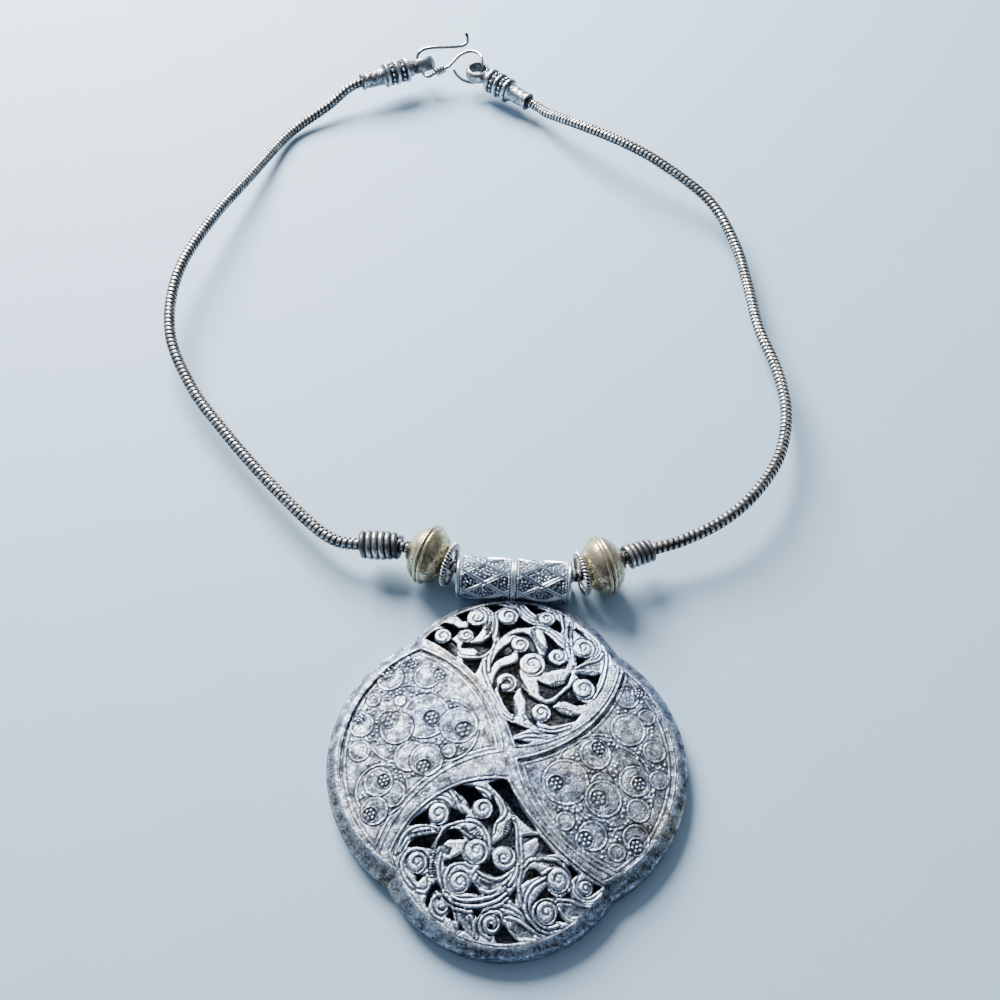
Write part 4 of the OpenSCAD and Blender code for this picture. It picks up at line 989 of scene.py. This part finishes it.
# each part's route and, in degrees, how its rows of plates turn from end to end
for name, corners, twist in (("chain_left", LEFT_ROUTE, (-50, 38)),
                             ("chain_right", RIGHT_ROUTE, (110, -80))):
    path, at = route(np.array(corners) + HOME, PLATE / 10)
    a = np.arange(CHAIN_SIDES) * 4 / CHAIN_SIDES
    quarter = (a - np.linspace(*twist, len(at))[:, None] / 90 + 0.5) % 4
    across = quarter % 1 - 0.5
    phase = (at[:, None] / PLATE + 0.5 * (quarter // 1 % 2) + 0.30 * across) % 1
    slit = np.minimum(phase, 1 - phase)
    groove = line(slit, 0.11 + 0.08 * np.abs(across))
    seam = line(0.5 - np.abs(across), 0.07)
    radius = CHAIN_R - 0.10 * phase * (1 - groove) - 0.34 * np.maximum(groove, 0.6 * seam)
    points, faces = swept(path, radius, CHAIN_SIDES)
    # Painted shade: the underside and lower sides of the chain are darkened. The slits and seams
    # between plates are dark too, and each plate darkens towards its sunk end.
    low = 0.45 * np.clip(0.45 - np.cos(a * math.pi / 2), 0, 1)
    dark = np.clip(0.18 + low + 0.15 * phase + 1.5 * line(slit, 0.20) + seam, 0, 1).ravel()
    finished(name, points, faces, dark, chain_silver, name, sharp=80)


# The beads: hollow two-cone beads of a duller, yellower silver, raised from sheet in two
# halves, soldered at the equator and trimmed there with a double wire.
BEADS = {
    # place, turn, tint of the metal and of its bloom
    "left": ((-7.66, -51.88, 6.75), -25, (0.44, 0.37, 0.20, 1), (0.22, 0.20, 0.13, 1)),
    "right": ((30.04, -54.78, 6.75), 20, (0.38, 0.29, 0.20, 1), (0.16, 0.12, 0.11, 1)),
}
for side, (place, turn, tint, bloom) in BEADS.items():
    bead_metal = metal("bead " + side, bump=0.35, Grain_Amount=1.1, Body=tint, Bloom=bloom,
                       Worn=(0.84, 0.74, 0.50, 1), Stain=(0.34, 0.28, 0.11, 1),
                       Bloom_Amount=0.85, Grain_Scale=1600.0, Mottle=0.3)
    half_profile = [(4.5, 2.1), (4.5, 2.5), (4.4, 2.72), (4.1, 3.15), (3.73, 3.7), (3.4, 4.22),
                    (3.06, 4.7), (2.68, 5.12), (2.25, 5.5), (1.8, 5.83), (1.35, 6.1),
                    (1.05, 6.24), (0.82, 6.32), (0.72, 6.5), (0.58, 6.66), (0.42, 6.7),
                    (0.24, 6.6), (0.1, 6.42)]
    profile = half_profile + [(0.0, 6.36)] + [(-u, r) for u, r in half_profile[::-1]]
    points, faces, row = turned(profile, 96)
    u = np.array(profile)[row][:, 0]
    dark = 0.27 + 0.5 * line(u, 0.12) + 0.35 * line(np.abs(u) - 1.0, 0.12)
    dark += np.where(np.abs(u) > 4.1, 0.35, 0) - 0.25 * line(np.abs(u) - 0.55, 0.2)
    finished("bead_" + side, laid(points, place, turn), faces, np.clip(dark, 0, 1),
             bead_metal, "bead_" + side)


# Coiled wire: fine wire wound tight and bent to a ring beside each bead, thicker wire wound
# round the chain outside the beads, and fine wire wound round the hook. One node tree draws
# every wire along its path.
def round_along_path(nodes, given):
    path = fed(nodes.new("GeometryNodeMeshToCurve"), {"Mesh": given.outputs["Geometry"]})
    section = fed(nodes.new("GeometryNodeCurvePrimitiveCircle"), {
        "Resolution": given.outputs["Sides"], "Radius": given.outputs["Radius"]})
    return fed(nodes.new("GeometryNodeCurveToMesh"), {
        "Fill Caps": True, "Curve": path.outputs["Curve"],
        "Profile Curve": section.outputs["Curve"]}).outputs["Mesh"]


wire_tree = growing_tree("wire", [("Radius", "NodeSocketFloat", 0.0005),
                                  ("Sides", "NodeSocketInt", 10)], round_along_path)
coil_metal = metal("coiled wire", bump=0.15, Grain_Amount=0.5, Bloom_Amount=0.6, Mottle=0.05,
                   Body=(0.30, 0.30, 0.30, 1), Bloom=(0.26, 0.23, 0.21, 1),
                   Worn=(0.90, 0.90, 0.90, 1), Deep=(0.005, 0.005, 0.006, 1))
wrap_metal = metal("wrap wire", bump=0.2, Grain_Amount=0.8, Bloom_Amount=0.8, Mottle=0.2,
                   Body=(0.19, 0.19, 0.19, 1), Bloom=(0.17, 0.13, 0.11, 1),
                   Stain=(0.18, 0.13, 0.11, 1), Worn=(0.74, 0.74, 0.74, 1))


def strung(count, closed=False):
    edges = [(i, i + 1) for i in range(count - 1)]
    return edges + [(count - 1, 0)] if closed else edges


# place and turn of each ring of coiled wire
SPACERS = {"left": ((-3.06, -54.03, 6.1), -21), "right": ((25.49, -56.48, 6.1), 17)}
RING_R, COIL_R, COIL_TURNS = 4.3, 0.52, 38
for side, (place, turn) in SPACERS.items():
    t = np.arange(COIL_TURNS * 10) / (COIL_TURNS * 10) * 2 * math.pi
    ring = round_x(COIL_R * np.sin(COIL_TURNS * t), RING_R + COIL_R * np.cos(COIL_TURNS * t), t)
    core = round_x(0 * t, RING_R, t)[::3]

    def between(p):
        u, v, w = (p - np.array(place)).T
        u, v = spun(u, v, -turn)
        return np.clip(2.6 - np.hypot(u, np.hypot(v, w) - RING_R) * 4.0, 0, 1)

    for name, path, radius, sides in (("spacer_", ring, 0.00021, 8),
                                      ("spacer_core_", core, 0.00038, 10)):
        grown(name + side, wire_tree, laid(path, place, turn), strung(len(path), True),
              "spacer_" + side, "coil_wire", between, Radius=radius, Sides=sides,
              Material=coil_metal)


def off_axis(p, place, turn, pitch):
    """How far points lie from a line through a place, turned and pitched as laid does."""
    ahead = laid(np.array([[1.0, 0, 0]]), (0, 0, 0), turn, pitch)[0]
    flat = p - np.array(place)
    return np.linalg.norm(flat - (flat @ ahead)[:, None] * ahead, axis=1)


WRAPS = {
    # place, turn, pitch, wire, metal, (distance along, radius) at each turn
    "wrap_left": ((-23.36, -48.83, 6.2), -4.6, 2.3, 1.42, wrap_metal,
                  [(0.8, 2.3), (2.2, 2.55), (3.6, 2.65), (5, 2.65), (6.4, 2.55), (7.8, 2.35),
                   (9.2, 2.2)]),
    "wrap_right": ((34.84, -52.89, 6.74), 20.8, 0, 1.22, wrap_metal,
                   [(0.7, 2.25), (1.9, 2.2), (3.1, 2.15), (4.3, 2.1), (5.5, 2.05), (6.7, 2)]),
    "hook_coil": ((-12.16, 125.52, 6.73), 28, 10.6, 0.64, coil_metal,
                  [(-0.05, 1.08), (0.75, 1.08), (1.55, 1.08), (2.35, 1.08), (3.15, 1.08)]),
}
STEPS_A_TURN = 28
for name, (place, turn, pitch, wire, wire_metal, rows) in WRAPS.items():
    t = np.linspace(0, len(rows) - 1, STEPS_A_TURN * (len(rows) - 1) + 1)
    u, r = [np.interp(t, range(len(rows)), column) for column in zip(*rows)]
    coil = round_x(u, r, t * 2 * math.pi)
    widest = max(out for _, out in rows) + wire / 2

    def shaded(p):
        out = off_axis(p, place, turn, pitch)
        return np.clip(0.15 + (widest - out) * 2.0 / wire, 0, 1)

    grown(name, wire_tree, laid(coil, place, turn, pitch), strung(len(t)), name, "coil_wire",
          shaded, Radius=wire * 0.0005, Sides=14, Material=wire_metal)


# The end caps: turned silver cups that hold the chain's ends. Each has a sleeve with
# scratched zigzags, a drum with two blackened bands of grains between wires, and a
# hammered neck that opens into a broad ring for the hook.
CAPS = {
    # place of the mouth, turn, pitch, lean and half width of the ring, dirt on the sleeve
    "left": ((-34.76, 119.47, 7.5), 25.8, 0.0, -35, 2.1, 0.52),
    "right": ((16.54, 112.77, 5.1), 139.7, 3.6, 0, 1.7, 0.28),
}
SLEEVE, RING_OFF = 7.2, 20.5
BAND_GRAINS, BAND_GRAINS_OUT = 14, 3.12
cap_silver = metal("cap silver", bump=0.6, Grain_Amount=1.2, Bloom_Amount=0.6, Mottle=0.3,
                   Body=(0.24, 0.25, 0.27, 1), Bloom=(0.20, 0.19, 0.17, 1),
                   Stain=(0.22, 0.19, 0.14, 1))
for side, (place, turn, pitch, lean, wide, dirt) in CAPS.items():
    cup = [(5.4, 0.0), (5.4, 1.65), (0.1, 1.65), (0.0, 1.8), (0.0, 2.45), (0.12, 2.58),
           (0.6, 2.58), (0.78, 2.45), (0.9, 2.27)]
    cup += [(u, 2.27 + 0.042 * (u - 0.9)) for u in np.arange(1.0, SLEEVE - 0.65, 0.12)]
    cup += [(SLEEVE - 0.6, 2.5), (SLEEVE - 0.3, 2.62), (SLEEVE - 0.1, 2.9)]
    wire, groove = [3.4, 3.72, 3.75, 3.72, 3.4], [3.02] * 4
    levels = [3.15] + wire + groove + wire + groove + wire
    spans = [0.1, 0.45, 0.65, 0.9, 1.15, 1.4, 1.62, 2.1, 2.9, 3.45, 3.7, 3.95, 4.2, 4.45, 4.75,
             4.98, 5.5, 6.2, 6.75, 6.98, 7.2, 7.5, 7.8, 8.0]
    cup += [(SLEEVE + u, r) for u, r in zip(spans, levels)]
    cup += [(SLEEVE + 8.25, 2.85), (SLEEVE + 8.5, 2.55), (SLEEVE + 8.8, 2.42),
            (SLEEVE + 9.1, 2.37), (RING_OFF - 3.9, 2.32), (RING_OFF - 3.6, 2.1),
            (RING_OFF - 3.25, 1.7), (RING_OFF - 3.25, 0.0)]
    points, faces, row = turned(cup, 120, closed=False)
    reach, rim = np.array(cup)[row].T
    around = np.arctan2(points[:, 2], points[:, 1])
    wave = np.abs((around * 7 / math.pi) % 2 - 1)
    zigzag = line(reach - 2.2 - 1.7 * wave, 0.16) + line(reach - 5.4 - 0.9 * wave, 0.14)
    zigzag = np.where((reach > 0.95) & (reach < SLEEVE - 0.65), np.clip(zigzag, 0, 1), 0)
    dent = np.where((reach > SLEEVE + 8.3) | (zigzag > 0), 0.05, 0) * np.cos(
        3.1 * reach + 2 * np.sin(3 * around)) - 0.07 * zigzag
    points[:, 1:] *= (1 + dent / np.maximum(rim, 1))[:, None]
    in_drum = (reach > SLEEVE) & (reach < SLEEVE + 8.1)
    dark = np.where(in_drum, np.clip(1.3 - (rim - 3.0) * 1.7, 0.05, 1), dirt + 0.45 * zigzag)
    dark = np.where((row < 5) | ((reach > 0.78) & (reach < 1.05)), 0.95, dark)
    dark = np.where(reach > SLEEVE + 8.1, 0.62 - 3.0 * dent, dark)
    finished("cap_" + side, laid(points, place, turn, pitch), faces, dark, cap_silver,
             "cap_" + side)

    dots = np.array([round_x(band, BAND_GRAINS_OUT, (k + shift) * 2 * math.pi / BAND_GRAINS)
                     for band, shift in ((SLEEVE + 2.5, 0), (SLEEVE + 5.95, 0.5))
                     for k in range(BAND_GRAINS)])

    def raised(p):
        return np.clip(0.7 - (off_axis(p, place, turn, pitch) - 3.0) * 1.1, 0, 1)

    grown("cap_grains_" + side, grain_tree, laid(dots, place, turn, pitch), [],
          "cap_" + side, "cap_silver", raised, Radius=0.00047, Variation=0.12,
          Material=cap_silver)

    upper = [(wide - 0.2, 2.65), (wide - 0.04, 2.72), (wide, 2.9), (0.95 * wide, 3.15),
             (0.8 * wide, 3.5), (0.5 * wide, 3.76), (0.25 * wide, 3.87)]
    mirrored = [(-x, r) for x, r in upper]
    section = mirrored[:1] + upper + [(0.0, 3.9)] + mirrored[:0:-1]
    points, faces, row = turned(section, 72)
    points = points[:, [2, 1, 0]] * np.array([-1, 1, 1])
    y, z = spun(points[:, 1], points[:, 2], lean)
    points = np.stack([points[:, 0] + RING_OFF, y, z], -1)
    dark = np.where(np.isin(row, (0, 1)), 0.95, 0.55)
    finished("cap_ring_" + side, laid(points, place, turn, pitch), faces, dark, cap_silver,
             "cap_" + side)


# The hook: one polished wire, curled up at its tip, bent through the left ring, wound with
# the fine coil and closed in an eye through the right ring.
HOOK_ROUTE = [
    (-2.7, 128.8, 15), (-2.2, 128.2, 13.9), (-2.4, 127.3, 12.7), (-4, 126.6, 12.1),
    (-8.3, 126.1, 12), (-13, 125.8, 12), (-16, 125.5, 11.5), (-17.8, 124.6, 10.2),
    (-17.7, 123.4, 8.2), (-16.7, 122.4, 6.3), (-15.5, 121.1, 5.3), (-14.2, 120.2, 5.7),
    (-13, 120.1, 6.5), (-12, 120.6, 6.75), (-8.8, 122.3, 7.4), (-7.9, 122.8, 7.6),
    (-6.7, 124.3, 8.1), (-5, 126.1, 8.9), (-2.8, 127.3, 9.5), (-0.6, 127.4, 9.7),
    (1.3, 126.1, 9.75), (2.25, 124.1, 9.55), (2.4, 122.4, 8.2), (2.1, 121.4, 5.8),
    (1.1, 120.7, 4), (-1, 120.3, 3.5), (-3.7, 120.5, 4.3), (-5.6, 121.7, 5.2),
    (-6.6, 122.8, 6.2)]
hook_metal = metal("hook wire", bump=0.1, Grain_Amount=0.3, Bloom_Amount=0.1, Mottle=0.05,
                   Body=(0.40, 0.41, 0.43, 1), Worn=(0.92, 0.92, 0.92, 1))
path, at = route(np.array(HOOK_ROUTE) + HOME, 0.35)


# The hook wire's mask: painted shade, darker on the wire's underside and on its side towards the
# wearer, lighter on its top and its side towards the window; the first 1.3 mm from the tip is dark
# all round.
def painted_shade_and_dark_tip(p):
    nearest = np.linalg.norm(p[:, None] - path, axis=2).argmin(1)
    below = (path[nearest, 2] - p[:, 2]) * 0.7 - (p[:, 1] - path[nearest, 1]) * 0.7
    return np.where(at[nearest] < 1.3, 0.9, np.clip(0.30 + below * 2.0, 0.03, 0.95))


grown("hook", wire_tree, path, strung(len(path)), "hook", "hook_wire", painted_shade_and_dark_tip,
      Radius=0.00048, Sides=16, Material=hook_metal)
